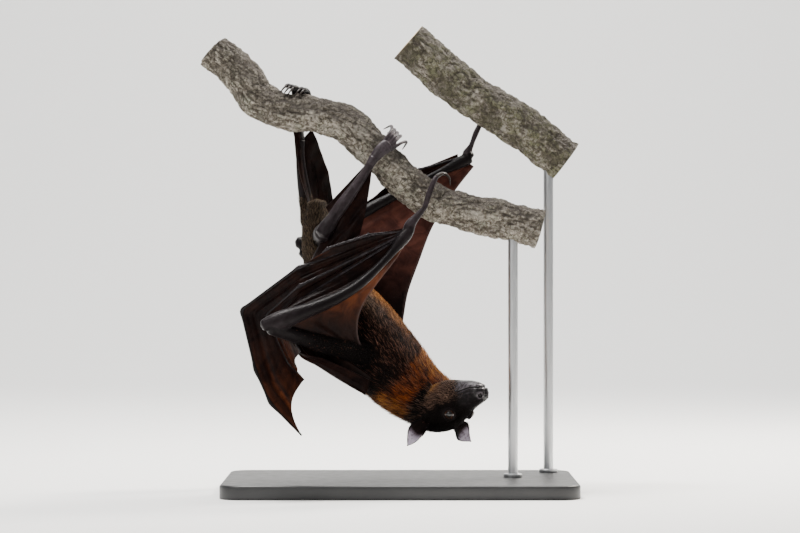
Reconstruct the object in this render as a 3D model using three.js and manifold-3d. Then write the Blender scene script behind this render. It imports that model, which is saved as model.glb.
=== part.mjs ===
// A large flying fox (fruit bat), life size, hanging head down from a branch by both feet and
// both thumbs, on a display stand. Millimetres, +Z up. The origin is the centre of the
// underside of the stand's base. The bat looks towards +X, with its left side on the -Y side.
import * as THREE from "three";
import { mergeVertices } from "three/addons/utils/BufferGeometryUtils.js";
import Module from "manifold-3d";

const wasm = await Module();
wasm.setup();

const at = (x, y, z) => new THREE.Vector3(x, y, z);
const radians = THREE.MathUtils.degToRad;

// ---------------------------------------------------------------- driving dimensions
const GAP = 0.3; // air left between neighbouring pieces
const SAME_POINT = 1e-3; // corners nearer than this are one
const WING_SKIN = 0.9; // thickness of a wing skin

const BASE = { length: 350, width: 230, height: 14, corner: 22 };
const ROD_RADIUS = 5;
const ROD_DEPTH_IN_BASE = 8;
const ROD_DEPTH_IN_BRANCH = 12;
const FRONT_ROD_FOOT = at(113, 3, BASE.height);
const BACK_ROD_FOOT = at(152, 74, BASE.height);

// The branch that the feet and the left thumb hold, and the one behind it for the right thumb.
const FRONT_BRANCH = [
  at(-187, 14, 442),
  at(-156, 9, 413),
  at(-141, 6, 391),
  at(-114, 3, 380),
  at(-83, 2, 376),
  at(-55, 1, 367),
  at(-35, 0, 350),
  at(-16, 0, 332),
  at(4, 0, 311),
  at(26, 0, 295),
  at(50, 1, 284),
  at(80, 2, 277),
  at(107, 3, 271),
  at(140, 5, 262),
];
const FRONT_BRANCH_RADIUS = 20;
const BACK_BRANCH = [
  at(8, 66, 454),
  at(59, 70, 410),
  at(86, 72, 391),
  at(115, 73, 374),
  at(170, 75, 333),
];
const BACK_BRANCH_RADIUS = 23;

// The midline of the body, from the rump at the top down to the nape.
const MIDLINE = [
  at(-83, 4, 288),
  at(-82, 4, 260),
  at(-74, 2, 226),
  at(-57, 0, 192),
  at(-34, 0, 160),
  at(-13, 0, 130),
  at(4, -1, 111),
  at(20, -4, 98),
  at(34, -8, 90),
  at(41, -11, 86),
];
const BELLY_SIDE = at(0.8, 0, 0.6);
// Half sizes of the body at each part of the midline's length, coat included.
const BODY_DEPTH = [
  [0, 13], [0.1, 19], [0.25, 25], [0.4, 33], [0.56, 39], [0.71, 41], [0.81, 39], [0.9, 35], [1, 29],
];
const BODY_WIDTH = [
  [0, 16], [0.1, 23], [0.25, 30], [0.4, 35], [0.56, 40], [0.71, 41], [0.81, 36], [0.9, 32], [1, 27],
];
const BODY_PARTS = [
  { name: "hips", from: 0, to: 0.25, steps: 5 },
  { name: "belly", from: 0.25, to: 0.48, steps: 4 },
  { name: "chest", from: 0.48, to: 0.78, steps: 5 },
  { name: "neck", from: 0.78, to: 1, steps: 4 },
];

// The head has a frame of its own, in the middle between the eyes: forward, left and up.
const HEAD_CENTRE = at(58, -27.5, 79.3);
const HEAD_YAW = radians(41.3); // turned from +X towards the left side
const HEAD_PITCH = radians(18.7); // nose raised above the level
const FORWARD = at(
  Math.cos(HEAD_PITCH) * Math.cos(HEAD_YAW),
  -Math.cos(HEAD_PITCH) * Math.sin(HEAD_YAW),
  Math.sin(HEAD_PITCH),
);
const LEFT = at(-Math.sin(HEAD_YAW), -Math.cos(HEAD_YAW), 0);
const UP = FORWARD.clone().cross(LEFT); // the crown hangs lowest
const HEAD_BACK = -47;
const MUZZLE_END = 40;
// Half width, top and underside of the head at each place from its back to its nose.
const HEAD_WIDTH = [
  [-47, 14], [-38, 22], [-25, 26.5], [-10, 26], [0, 22], [10, 16.5], [20, 13], [30, 11], [36, 9.5], [40, 6.5],
];
const HEAD_TOP = [
  [-47, 0], [-38, 8], [-25, 13], [-10, 12], [0, 9], [10, 5], [20, 1.5], [30, -1], [36, -2.5], [40, -5.5],
];
const HEAD_LOW = [
  [-47, -22], [-38, -30], [-25, -36], [-10, -37], [0, -35], [10, -31], [20, -27], [30, -24], [36, -21], [40, -15],
];
const MOUTH = { corner: 13, cornerHeight: -17.5, lipHeight: -13.5 };
const NOSE_START = 33.5;
const NOSTRIL = { forward: 36, aside: 5.5, height: -7.5, radius: 3.2 };
const EYE = { aside: 14.5, radius: 6 };
const EARS = [
  { side: "left", root: [-29, 24, 4], reach: [-11, 17, 15.5], facing: [0.5, 0.72, -0.45] },
  { side: "right", root: [-22, -22, 3], reach: [-8, -20, 16], facing: [0.95, -0.1, 0.05] },
];
const EAR_HALF_WIDTH = 9.5;
const EAR_CUP = 7;
const EAR_THICKNESS = 1.6;

// One wing each side. The joints of the arm, then the bones of the thumb and the four fingers.
// frontEdge is the free edge of the skin in the bend of the arm, from shoulder to wrist, and
// frontRoot is its root along the two bones. The skin behind the arm is in two: legSkin from the
// leg to finger 5, and sideSkin from the flank to the elbow and the upper arm. Each is stretched
// from bodyEdge to armEdge, and billow moves its middle. edgeScallop draws in the free edge
// between a finger's tip and the next one's.
const WINGS = [
  {
    side: "left",
    upperArm: [at(-2, 0, 130), at(-30, -26, 137), at(-80, -70, 151), at(-125, -102, 166)],
    forearm: [
      at(-133, -104, 168),
      at(-123, -102, 171),
      at(-96, -92, 180),
      at(-68, -80, 191),
      at(-42, -66, 206),
      at(-15, -50, 231),
      at(8, -36, 259),
    ],
    thumb: [at(10, -34, 266), at(24, -31, 283), at(28, -29, 295), at(33, -27, 308), at(36, -24, 314)],
    thumbClaw: [at(36, -24, 314), at(43, -18, 317.5), at(49, -12, 313.5), at(50, -9, 306)],
    fingers: {
      2: [at(5, -39, 263), at(-31, -52, 256), at(-71, -66, 243), at(-78, -66, 236)],
      3: [
        at(3, -40, 261),
        at(-99, -72, 224),
        at(-157, -36, 182),
        at(-143, -37, 123),
        at(-128, -41, 90),
        at(-97, -47, 59),
      ],
      4: [at(1, -40, 257), at(-98, -77, 206), at(-132, -42, 177), at(-110, -38, 130), at(-95, -38, 113)],
      5: [at(-1, -38, 253), at(-97, -76, 193), at(-113, -72, 168), at(-97, -84, 143)],
    },
    frontEdge: [
      at(-32, -40, 134),
      at(-41, -46, 155),
      at(-41, -50, 174),
      at(-35, -50, 190),
      at(-22, -47, 209),
      at(0, -41, 238),
      at(9, -37, 256),
    ],
    frontRoot: [
      at(-22, -34, 134),
      at(-78, -70, 152),
      at(-117, -99, 168),
      at(-68, -80, 191),
      at(-15, -50, 231),
      at(6, -37, 257),
    ],
    legSkin: {
      bodyEdge: [at(-24, -24, 326), at(-66, -36, 256), at(-83, -32, 244), at(-91, -27, 225)],
      armEdge: [at(-48, -54, 229), at(-76, -64, 208), at(-98, -70, 190)],
      billow: at(8, 0, -4),
    },
    sideSkin: {
      bodyEdge: [at(-91, -27, 219), at(-81, -34, 182), at(-62, -38, 143), at(-40, -38, 124)],
      armEdge: [
        at(-95, -70, 186),
        at(-107, -73, 164),
        at(-99, -78, 143),
        at(-76, -61, 135),
        at(-46, -45, 123),
      ],
      billow: at(-5, 3, -17),
    },
    edgeScallop: { 3: at(-11, 0, 2), 4: at(-7, 0, 0) },
  },
  {
    side: "right",
    upperArm: [at(-4, 16, 136), at(-14, 36, 140), at(-58, 52, 196), at(-98, 50, 242)],
    forearm: [at(-105, 50, 250), at(-98, 51, 249), at(-70, 62, 261), at(-20, 76, 290), at(32, 87, 317), at(72, 92, 337)],
    thumb: [at(69, 92, 342), at(73, 93, 349), at(78, 95, 362), at(84, 99, 374)],
    thumbClaw: [at(84, 99, 374), at(87, 103, 384), at(92, 101, 392), at(96, 97, 397)],
    fingers: {
      2: [at(62, 92, 342), at(20, 92, 325), at(-8, 90, 311), at(-22, 88, 300)],
      3: [at(62, 94, 339), at(-50, 92, 281), at(-90, 146, 246), at(-78, 140, 190), at(-57, 112, 123)],
      4: [at(61, 90, 336), at(-46, 84, 272), at(-73, 126, 230), at(-50, 122, 190), at(-33, 112, 154)],
      5: [at(60, 87, 333), at(-47, 75, 264), at(-66, 96, 226), at(-45, 88, 190)],
    },
    frontEdge: [
      at(0, 36, 146),
      at(4, 40, 176),
      at(8, 46, 198),
      at(19, 58, 229),
      at(34, 74, 267),
      at(58, 86, 305),
      at(76, 91, 328),
    ],
    frontRoot: [
      at(-12, 34, 142),
      at(-58, 52, 196),
      at(-96, 52, 246),
      at(-20, 76, 290),
      at(30, 87, 318),
      at(68, 92, 334),
    ],
    legSkin: {
      bodyEdge: [at(-95, 26, 348), at(-86, 36, 290), at(-78, 40, 262)],
      armEdge: [at(-70, 70, 262), at(-66, 78, 244), at(-70, 84, 232)],
      billow: at(4, 4, 4),
    },
    sideSkin: {
      bodyEdge: [at(-80, 36, 240), at(-68, 38, 186), at(-48, 41, 152), at(-26, 42, 140)],
      armEdge: [at(-92, 60, 238), at(-74, 60, 212), at(-50, 58, 180), at(-24, 48, 148)],
      billow: at(-6, 12, -4),
    },
    edgeScallop: { 3: at(-8, 6, 10), 4: at(-6, 4, 8) },
  },
];
const FINGER_RADIUS = { root: 2.4, tip: 1.0, knuckle: 0.9 };
const THUMB_RADIUS = [[0, 4.4], [0.3, 2.8], [0.62, 3.2], [1, 2.7]];
const THUMB_CLAW_RADIUS = [[0, 2.5], [0.4, 1.9], [1, 0.5]];
const FOREARM_RADIUS = [[0, 5.5], [0.06, 8.5], [0.3, 8], [0.6, 6], [0.85, 4.8], [0.97, 6.8], [1, 6]];
const UPPER_ARM_RADIUS = [[0, 12], [0.3, 12], [0.7, 9.5], [1, 7.5]];

// Legs, from inside the hips to the ankle.
const LEGS = [
  {
    side: "left",
    thigh: [at(-74, -8, 252), at(-76, -28, 256), at(-75, -44, 259)],
    shin: [at(-77, -48, 256), at(-59, -42, 283), at(-41, -35, 308), at(-26, -28, 332)],
    foot: [at(-26, -28, 332), at(-19, -27.5, 340), at(-11, -25, 346)],
  },
  {
    side: "right",
    thigh: [at(-80, 8, 262), at(-84, 22, 266), at(-87, 32, 268)],
    shin: [at(-90, 34, 264), at(-96, 31, 297), at(-100, 27, 327), at(-101, 24, 352)],
    foot: [at(-101, 24, 352), at(-104, 32, 373), at(-104, 20, 398)],
  },
];
const THIGH_RADIUS = [[0, 15], [0.5, 13], [1, 10]];
const SHIN_RADIUS = [[0, 9.5], [0.12, 9.5], [0.35, 7.8], [0.7, 6.2], [1, 5]];
const FOOT_HALF_WIDTH = [[0, 5.2], [0.5, 6.5], [1, 7.5]];
const FOOT_HALF_THICKNESS = 4.2;
const TOE_RADIUS = [[0, 2.8], [0.35, 2.4], [0.62, 2.6], [0.7, 2.1], [1, 0.5]];
// Where each foot holds the branch, and its toes as [start, end] places along the branch.
const GRIPS = {
  left: {
    centre: at(-16, 0, 332),
    run: at(0.68, 0, -0.73),
    startTurn: 24,
    endTurn: 112,
    toes: [[-12, -23], [-9.5, -17.5], [-7, -12], [-4.5, -6.5], [-2, 5]],
  },
  right: {
    centre: at(-114, 3, 380),
    run: at(0.97, 0, -0.24),
    startTurn: 132,
    endTurn: 50,
    toes: [[4, -10], [7, -6], [10, -2], [16, 5], [19, 9]],
  },
};
// The narrow skin along the inside of each leg, from the rump to the ankle.
const LEG_SKINS = [
  {
    side: "left",
    legEdge: [at(-66, -38, 270), at(-50, -36, 297), at(-30, -27, 327)],
    bodyEdge: [at(-74, -14, 284), at(-62, -24, 296), at(-35, -24, 325)],
  },
  {
    side: "right",
    legEdge: [at(-90, 28, 286), at(-97, 22, 320), at(-101, 18, 350)],
    bodyEdge: [at(-88, 10, 292), at(-94, 12, 318), at(-103, 15, 347)],
  },
];

// ---------------------------------------------------------------- finishes
const finish = (colour, roughness, metalness = 0) =>
  new THREE.MeshStandardMaterial({ color: colour, roughness, metalness });
const FINISH = {
  coatBrown: finish(0x33201a, 0.9),
  coatOrange: finish(0x8f3f16, 0.9),
  coatGrey: finish(0x4b4038, 0.9),
  coatBlack: finish(0x17110f, 0.85),
  bareSkin: finish(0x3a3236, 0.6),
  wingSkin: finish(0x1b1214, 0.5),
  earSkin: finish(0x5b5461, 0.65),
  nose: finish(0x18151a, 0.4),
  eye: finish(0x2a1408, 0.1),
  claw: finish(0x14100f, 0.3),
  bark: finish(0x8b8271, 0.95),
  standBase: finish(0x1d1d1f, 0.5),
  rod: finish(0xa9abad, 0.3, 1),
};

// ---------------------------------------------------------------- making solids
// The value at a place on a smooth line through [place, value] stops.
function along(stops, t) {
  const last = stops.length - 1;
  if (t <= stops[0][0]) return stops[0][1];
  if (t >= stops[last][0]) return stops[last][1];
  const i = stops.findIndex((stop) => stop[0] > t) - 1;
  const slope = (k) => {
    const before = stops[Math.max(k - 1, 0)];
    const after = stops[Math.min(k + 1, last)];
    return (after[1] - before[1]) / (after[0] - before[0]);
  };
  const span = stops[i + 1][0] - stops[i][0];
  const s = (t - stops[i][0]) / span;
  const rise = s * s * (3 - 2 * s);
  const leave = s * (1 - s) * (1 - s) * span * slope(i);
  const arrive = s * s * (s - 1) * span * slope(i + 1);
  return stops[i][1] * (1 - rise) + stops[i + 1][1] * rise + leave + arrive;
}

// The value at a place on straight lines between the stops.
function straightAlong(stops, t) {
  const i = Math.max(stops.findIndex((stop) => stop[0] >= t), 1);
  return THREE.MathUtils.mapLinear(t, stops[i - 1][0], stops[i][0], stops[i - 1][1], stops[i][1]);
}

const evenly = (steps, from = 0, to = 1) =>
  Array.from({ length: steps + 1 }, (_, i) => from + ((to - from) * i) / steps);
const smoothLine = (points) => new THREE.CatmullRomCurve3(points, false, "centripetal");

// A line of straight bones, with the places of its joints as parts of its whole length.
function boneLine(points) {
  const curve = new THREE.CurvePath();
  for (let i = 1; i < points.length; i++) curve.add(new THREE.LineCurve3(points[i - 1], points[i]));
  const lengths = curve.getCurveLengths();
  const joints = [0, ...lengths.map((length) => length / lengths[lengths.length - 1])];
  return { curve, joints };
}

function directionAt(curve, t) {
  const step = 0.004;
  const ahead = curve.getPointAt(Math.min(t + step, 1));
  return ahead.sub(curve.getPointAt(Math.max(t - step, 0))).normalize();
}

// One closed body along a curve: a sphere's rows become rings at the stations. ring(t) gives the
// half sizes wide and deep, and how far the ring is shifted towards the deep axis.
function sweep(curve, stations, ring, { sides = 12, deepAxis = at(0, 0, 1), grow = 0, rough } = {}) {
  const rows = stations.length + 1;
  const geometry = new THREE.SphereGeometry(1, sides, rows);
  const position = geometry.attributes.position;
  for (let row = 0; row <= rows; row++) {
    const station = THREE.MathUtils.clamp(stations.length - row, 0, stations.length - 1);
    const t = stations[station];
    const run = directionAt(curve, t);
    const deep = deepAxis.clone().addScaledVector(run, -deepAxis.dot(run)).normalize();
    const wide = run.clone().cross(deep);
    const size = ring(t);
    const centre = curve.getPointAt(t).addScaledVector(deep, size.shift ?? 0);
    if (station === 0) centre.addScaledVector(run, -grow);
    if (station === stations.length - 1) centre.addScaledVector(run, grow);
    const isPole = row === 0 || row === rows;
    for (let k = 0; k <= sides; k++) {
      const angle = (k % sides) * ((2 * Math.PI) / sides);
      const swell = rough ? rough(t, angle) : 0;
      const point = centre.clone();
      if (!isPole) {
        point.addScaledVector(wide, -Math.cos(angle) * (size.wide + grow + swell));
        point.addScaledVector(deep, Math.sin(angle) * (size.deep + grow + swell));
      }
      position.setXYZ(row * (sides + 1) + k, point.x, point.y, point.z);
    }
  }
  return solidFrom(geometry);
}

const roundRing = (stops) => (t) => {
  const radius = along(stops, t);
  return { wide: radius, deep: radius };
};

// A thin closed sheet on the points that surface(u, v) gives, u and v from 0 to 1.
function sheet(surface, thickness, rows, columns) {
  const geometry = new THREE.BoxGeometry(1, 1, 1, rows, columns, 1);
  const position = geometry.attributes.position;
  const step = 0.01;
  for (let i = 0; i < position.count; i++) {
    const u = position.getX(i) + 0.5;
    const v = position.getY(i) + 0.5;
    const alongRows = surface(Math.min(u + step, 1), v).sub(surface(Math.max(u - step, 0), v));
    const across = surface(u, Math.min(v + step, 1)).sub(surface(u, Math.max(v - step, 0)));
    const normal = alongRows.cross(across).normalize();
    const point = surface(u, v).addScaledVector(normal, position.getZ(i) * thickness);
    position.setXYZ(i, point.x, point.y, point.z);
  }
  return solidFrom(geometry);
}

function solidFrom(geometry) {
  geometry.deleteAttribute("normal");
  geometry.deleteAttribute("uv");
  const merged = mergeVertices(geometry, SAME_POINT);
  return new wasm.Manifold(
    new wasm.Mesh({
      numProp: 3,
      vertProperties: merged.attributes.position.array,
      triVerts: new Uint32Array(merged.index.array),
    }),
  );
}

function geometryOf(solid) {
  const { vertProperties, triVerts } = solid.getMesh();
  const geometry = new THREE.BufferGeometry();
  geometry.setAttribute("position", new THREE.BufferAttribute(vertProperties, 3));
  geometry.setIndex(new THREE.BufferAttribute(triVerts, 1));
  return geometry;
}

const joined = (solids) => solids.reduce((whole, solid) => whole.add(solid));

function largestPiece(solid) {
  return solid.decompose().reduce((best, piece) => (piece.volume() > best.volume() ? piece : best));
}

const bat = new THREE.Group();
const spaces = []; // the room that each placed piece takes, with the gap round it

// Adds a named piece, cut back to leave a gap to every piece that was placed before it.
// build(grow) gives its solid, made larger all round by grow.
function place(name, build, material) {
  const cut = spaces.reduce((rest, space) => rest.subtract(space), build(0));
  const rounded = solidFrom(geometryOf(largestPiece(cut)));
  const geometry = geometryOf(largestPiece(rounded));
  geometry.computeVertexNormals();
  const mesh = new THREE.Mesh(geometry, material);
  mesh.name = name;
  bat.add(mesh);
  spaces.push(build(GAP));
}

// ---------------------------------------------------------------- stand and perch
function rod(foot, top, grow) {
  const low = foot.z - ROD_DEPTH_IN_BASE - grow;
  const height = top + grow - low;
  const geometry = new THREE.CylinderGeometry(ROD_RADIUS + grow, ROD_RADIUS + grow, height, 12);
  geometry.rotateX(Math.PI / 2);
  geometry.translate(foot.x, foot.y, low + height / 2);
  return solidFrom(geometry);
}

function standBase(grow) {
  const halfLength = BASE.length / 2;
  const halfWidth = BASE.width / 2;
  const outline = new THREE.Shape();
  const corners = [[1, 1, 0], [-1, 1, 90], [-1, -1, 180], [1, -1, 270]];
  for (const [x, y, turn] of corners) {
    const centreX = x * (halfLength - BASE.corner);
    const centreY = y * (halfWidth - BASE.corner);
    outline.absarc(centreX, centreY, BASE.corner, radians(turn), radians(turn + 90), false);
  }
  const geometry = new THREE.ExtrudeGeometry(outline, {
    depth: BASE.height + grow,
    bevelEnabled: false,
    curveSegments: 3,
  });
  return solidFrom(geometry);
}

// The height of a branch's middle over a rod.
function heightOver(branch, foot) {
  const curve = smoothLine(branch);
  const places = curve.getSpacedPoints(200);
  return places.reduce((best, p) => (Math.abs(p.x - foot.x) < Math.abs(best.x - foot.x) ? p : best)).z;
}

// Bark is never round: low swellings wander along and round the branch.
const knobbly = (size, phase) => (t, angle) =>
  size * (Math.sin(t * 23 + 2 * angle + phase) + 0.6 * Math.sin(t * 41 - 3 * angle + phase));

function branch(points, radius, steps, phase, grow) {
  return sweep(smoothLine(points), evenly(steps), () => ({ wide: radius, deep: radius }), {
    sides: 12,
    grow,
    rough: knobbly(0.8, phase),
  });
}

function placeStandAndPerch() {
  const stands = [
    { name: "stand_rod_front", foot: FRONT_ROD_FOOT, points: FRONT_BRANCH, radius: FRONT_BRANCH_RADIUS },
    { name: "stand_rod_back", foot: BACK_ROD_FOOT, points: BACK_BRANCH, radius: BACK_BRANCH_RADIUS },
  ];
  for (const { name, foot, points, radius } of stands) {
    const top = heightOver(points, foot) - radius + ROD_DEPTH_IN_BRANCH;
    place(name, (grow) => rod(foot, top, grow), FINISH.rod);
  }
  place("stand_base", standBase, FINISH.standBase);
  place("perch_front", (grow) => branch(FRONT_BRANCH, FRONT_BRANCH_RADIUS, 16, 0.4, grow), FINISH.bark);
  place("perch_back", (grow) => branch(BACK_BRANCH, BACK_BRANCH_RADIUS, 8, 2.1, grow), FINISH.bark);
}

// ---------------------------------------------------------------- head
const inHead = (forward, left, up) =>
  HEAD_CENTRE.clone().addScaledVector(FORWARD, forward).addScaledVector(LEFT, left).addScaledVector(UP, up);

function skull(from, to, steps, grow) {
  const axis = new THREE.LineCurve3(inHead(from, 0, 0), inHead(to, 0, 0));
  const ring = (t) => {
    const forward = from + (to - from) * t;
    const top = along(HEAD_TOP, forward);
    const low = along(HEAD_LOW, forward);
    return { wide: along(HEAD_WIDTH, forward), deep: (top - low) / 2, shift: (top + low) / 2 };
  };
  return sweep(axis, evenly(steps), ring, { sides: 14, deepAxis: UP, grow });
}

// A block in the head's frame, below the line of the mouth and in front of its corner.
function jawSpace(grow) {
  const reach = MUZZLE_END + 10 - MOUTH.corner;
  const tilt = Math.atan2(MOUTH.lipHeight - MOUTH.cornerHeight, MUZZLE_END - MOUTH.corner);
  const depth = 40;
  const geometry = new THREE.BoxGeometry(reach + grow, 60, depth + grow);
  geometry.translate((reach - grow) / 2, 0, (grow - depth) / 2);
  geometry.rotateY(-tilt);
  geometry.translate(MOUTH.corner, 0, MOUTH.cornerHeight);
  geometry.applyMatrix4(new THREE.Matrix4().makeBasis(FORWARD, LEFT, UP).setPosition(HEAD_CENTRE));
  return solidFrom(geometry);
}

const ball = (centre, radius, grow, sides = 8, rows = 6) => {
  const geometry = new THREE.SphereGeometry(radius + grow, sides, rows);
  geometry.translate(centre.x, centre.y, centre.z);
  return solidFrom(geometry);
};

// The naked tip of the muzzle, with two short tubes for the nostrils.
function nose(grow) {
  const tip = skull(NOSE_START, MUZZLE_END, 2, grow).subtract(jawSpace(GAP - grow));
  const tubes = [-1, 1].map((side) =>
    ball(inHead(NOSTRIL.forward, side * NOSTRIL.aside, NOSTRIL.height), NOSTRIL.radius, grow, 7, 4),
  );
  return joined([tip, ...tubes]);
}

// A leaf that narrows to its tip, its two edges curled towards the side it faces.
function ear({ root, reach, facing }, grow) {
  const base = inHead(...root);
  const tip = inHead(root[0] + reach[0], root[1] + reach[1], root[2] + reach[2]);
  const axis = tip.clone().sub(base);
  const length = axis.length();
  axis.normalize();
  const open = inHead(...facing).sub(HEAD_CENTRE);
  open.addScaledVector(axis, -open.dot(axis)).normalize();
  const across = axis.clone().cross(open);
  const halfWidth = [[0, 0.72], [0.3, 0.96], [0.5, 1], [0.75, 0.78], [0.92, 0.42], [1, 0.14]];
  const surface = (u, v) => {
    const side = 2 * v - 1;
    const width = EAR_HALF_WIDTH * along(halfWidth, u);
    const curl = EAR_CUP * side * side * (1 - 0.7 * u) - 2 * Math.sin(Math.PI * u);
    return base
      .clone()
      .addScaledVector(axis, length * u)
      .addScaledVector(across, width * side)
      .addScaledVector(open, curl);
  };
  return sheet(surface, EAR_THICKNESS + 2 * grow, 6, 4);
}

function placeHead() {
  const sides = [["left", 1], ["right", -1]];
  for (const [side, sign] of sides) {
    place(`eye_${side}`, (grow) => ball(inHead(0, sign * EYE.aside, 0), EYE.radius, grow), FINISH.eye);
  }
  place("nose", nose, FINISH.nose);
  place("lower_jaw", (grow) => skull(HEAD_BACK, MUZZLE_END, 11, grow).intersect(jawSpace(grow)), FINISH.bareSkin);
  place("head", (grow) => skull(HEAD_BACK, MUZZLE_END, 11, grow), FINISH.coatBlack);
  for (const shape of EARS) {
    place(`ear_${shape.side}`, (grow) => ear(shape, grow), FINISH.earSkin);
  }
}

// ---------------------------------------------------------------- trunk
function placeTrunk() {
  const line = smoothLine(MIDLINE);
  const length = line.getLength();
  const ring = (t) => ({ wide: along(BODY_WIDTH, t), deep: along(BODY_DEPTH, t) });
  const coats = {
    hips: FINISH.coatGrey,
    belly: FINISH.coatBrown,
    chest: FINISH.coatBrown,
    neck: FINISH.coatOrange,
  };
  for (const { name, from, to, steps } of BODY_PARTS) {
    const start = from === 0 ? 0 : from + GAP / length;
    const build = (grow) =>
      sweep(line, evenly(steps, start, to), ring, { sides: 14, deepAxis: BELLY_SIDE, grow: Math.min(grow, GAP / 2) });
    place(name, build, coats[name]);
  }
}

// ---------------------------------------------------------------- legs
// A point near the bark: step runs along the branch, turn is 0 on its -Y side and 90 on top,
// and lift is its height over the bark.
function onBranch({ centre, run }, step, turn, lift) {
  const front = at(0, -1, 0);
  const top = front.clone().cross(run);
  const reach = FRONT_BRANCH_RADIUS + lift;
  return centre
    .clone()
    .addScaledVector(run, step)
    .addScaledVector(front, reach * Math.cos(radians(turn)))
    .addScaledVector(top, reach * Math.sin(radians(turn)));
}

function toe(grip, [start, end], grow) {
  const lifts = [4.5, 7.5, 7, 6, 1.2];
  const points = lifts.map((lift, i) => {
    const part = i / (lifts.length - 1);
    const step = THREE.MathUtils.lerp(start, end, part);
    const turn = THREE.MathUtils.lerp(grip.startTurn, grip.endTurn, part);
    return onBranch(grip, step, turn, lift);
  });
  return sweep(smoothLine(points), evenly(5), roundRing(TOE_RADIUS), { sides: 5, grow, deepAxis: grip.run });
}

function foot(line, grip, grow) {
  const ring = (t) => ({ wide: FOOT_HALF_THICKNESS, deep: along(FOOT_HALF_WIDTH, t) });
  const sole = sweep(smoothLine(line), evenly(3), ring, { sides: 8, deepAxis: grip.run, grow });
  return joined([sole, ...grip.toes.map((ends) => toe(grip, ends, grow))]);
}

function placeLegs() {
  for (const { side, thigh, shin, foot: footLine } of LEGS) {
    place(`foot_${side}`, (grow) => foot(footLine, GRIPS[side], grow), FINISH.bareSkin);
    const limb = (points, steps, radii) => (grow) =>
      sweep(smoothLine(points), evenly(steps), roundRing(radii), { sides: 8, grow, deepAxis: at(0, 1, 0.2) });
    place(`shin_${side}`, limb(shin, 6, SHIN_RADIUS), FINISH.bareSkin);
    place(`thigh_${side}`, limb(thigh, 2, THIGH_RADIUS), FINISH.coatGrey);
  }
}

// ---------------------------------------------------------------- wings
// The places along a finger with its radius at each: slim bones with a knob at every joint.
function fingerStops(joints) {
  const stations = joints.slice(1).flatMap((end, i) => evenly(2, joints[i], end).slice(0, -1));
  return [...stations, 1].map((t) => {
    const slim = THREE.MathUtils.lerp(FINGER_RADIUS.root, FINGER_RADIUS.tip, t);
    const isKnob = joints.slice(1, -1).includes(t);
    return [t, slim + (isKnob ? FINGER_RADIUS.knuckle : 0)];
  });
}

function finger(points, grow) {
  const { curve, joints } = boneLine(points);
  const stops = fingerStops(joints);
  const ring = (t) => {
    const radius = straightAlong(stops, t);
    return { wide: radius, deep: radius };
  };
  const stations = stops.map(([t]) => t);
  return sweep(curve, stations, ring, { sides: 5, grow, deepAxis: at(0.1, 1, 0.3) });
}

// One edge of a skin, along a line. At each reach from 0 to 1 it is at the part placeAt(reach) of
// the line's length, and stands off from the line's middle by inset.
const edgeAlong = (curve, { inset = () => 0, placeAt = (reach) => reach } = {}) => ({
  point: (reach) => curve.getPointAt(placeAt(reach)),
  run: (reach) => directionAt(curve, placeAt(reach)),
  inset: (reach) => inset(placeAt(reach)),
});

// The edge beside a finger, or beside its first bones only. Each of its first two bones takes a
// third of the reach, so that the skins between two fingers run from joint to joint.
function fingerEdge(points, bones = 3) {
  const { curve, joints } = boneLine(points);
  const stops = fingerStops(joints);
  const knots = [[0, 0], [1, joints[1]], [2, joints[2]], [3, 1]];
  const placeAt = (reach) => straightAlong(knots, reach * bones);
  const reachAt = (t) => straightAlong(knots.map(([bone, end]) => [end, bone]), t) / bones;
  const inset = (t) => straightAlong(stops, t) + 2 * GAP;
  return { ...edgeAlong(curve, { inset, placeAt }), joints: joints.map(reachAt) };
}

// A skin stretched between two edges, with a row of points at each of the stations along them.
// sag(reach, v) moves its middle.
function stretchedSkin(edgeA, edgeB, { stations, columns, sag = () => at(0, 0, 0) }) {
  const most = 0.4; // of the width is left free beside each edge where the edges come together
  const surface = (u, v) => {
    const row = u * (stations.length - 1);
    const i = Math.min(Math.floor(row), stations.length - 2);
    const reach = THREE.MathUtils.lerp(stations[i], stations[i + 1], row - i);
    const a = edgeA.point(reach);
    const across = edgeB.point(reach).sub(a);
    const width = across.length();
    const share = (edge) => {
      const slant = across.clone().normalize().cross(edge.run(reach)).length();
      return Math.min(edge.inset(reach) / (width * Math.max(slant, 0.5)), most);
    };
    const part = THREE.MathUtils.lerp(share(edgeA), 1 - share(edgeB), v);
    return a.addScaledVector(across, part).add(sag(reach, v));
  };
  return (grow) => sheet(surface, WING_SKIN + 2 * grow, stations.length - 1, columns);
}

const hump = (x) => Math.sin(Math.PI * x);

// The skins between the fingers start where these are far enough apart.
function placeFingerSkins(wing) {
  const longestStep = 0.14;
  const skins = [
    { first: 2, second: 3, bones: 1, from: 0.5, columns: 1 },
    { first: 3, second: 4, bones: 3, from: 0.22, columns: 2 },
    { first: 4, second: 5, bones: 3, from: 0.24, columns: 2 },
  ];
  for (const { first, second, bones, from, columns } of skins) {
    const edgeA = fingerEdge(wing.fingers[first]);
    const edgeB = fingerEdge(wing.fingers[second], bones);
    const joints = [...edgeA.joints, ...edgeB.joints].filter((reach) => reach > from && reach < 1);
    const places = [from, ...joints, 1].sort((a, b) => a - b);
    const steps = places.slice(1).flatMap((end, i) => {
      const count = Math.ceil((end - places[i]) / longestStep);
      return evenly(count, places[i], end).slice(1);
    });
    const scallop = wing.edgeScallop[first];
    const sag = (reach, v) => (scallop ?? at(0, 0, 0)).clone().multiplyScalar(hump(v) * reach ** 9);
    const build = stretchedSkin(edgeA, edgeB, { stations: [from, ...steps], columns, sag });
    place(`wing_skin_${wing.side}_fingers_${first}_${second}`, build, FINISH.wingSkin);
  }
}

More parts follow.
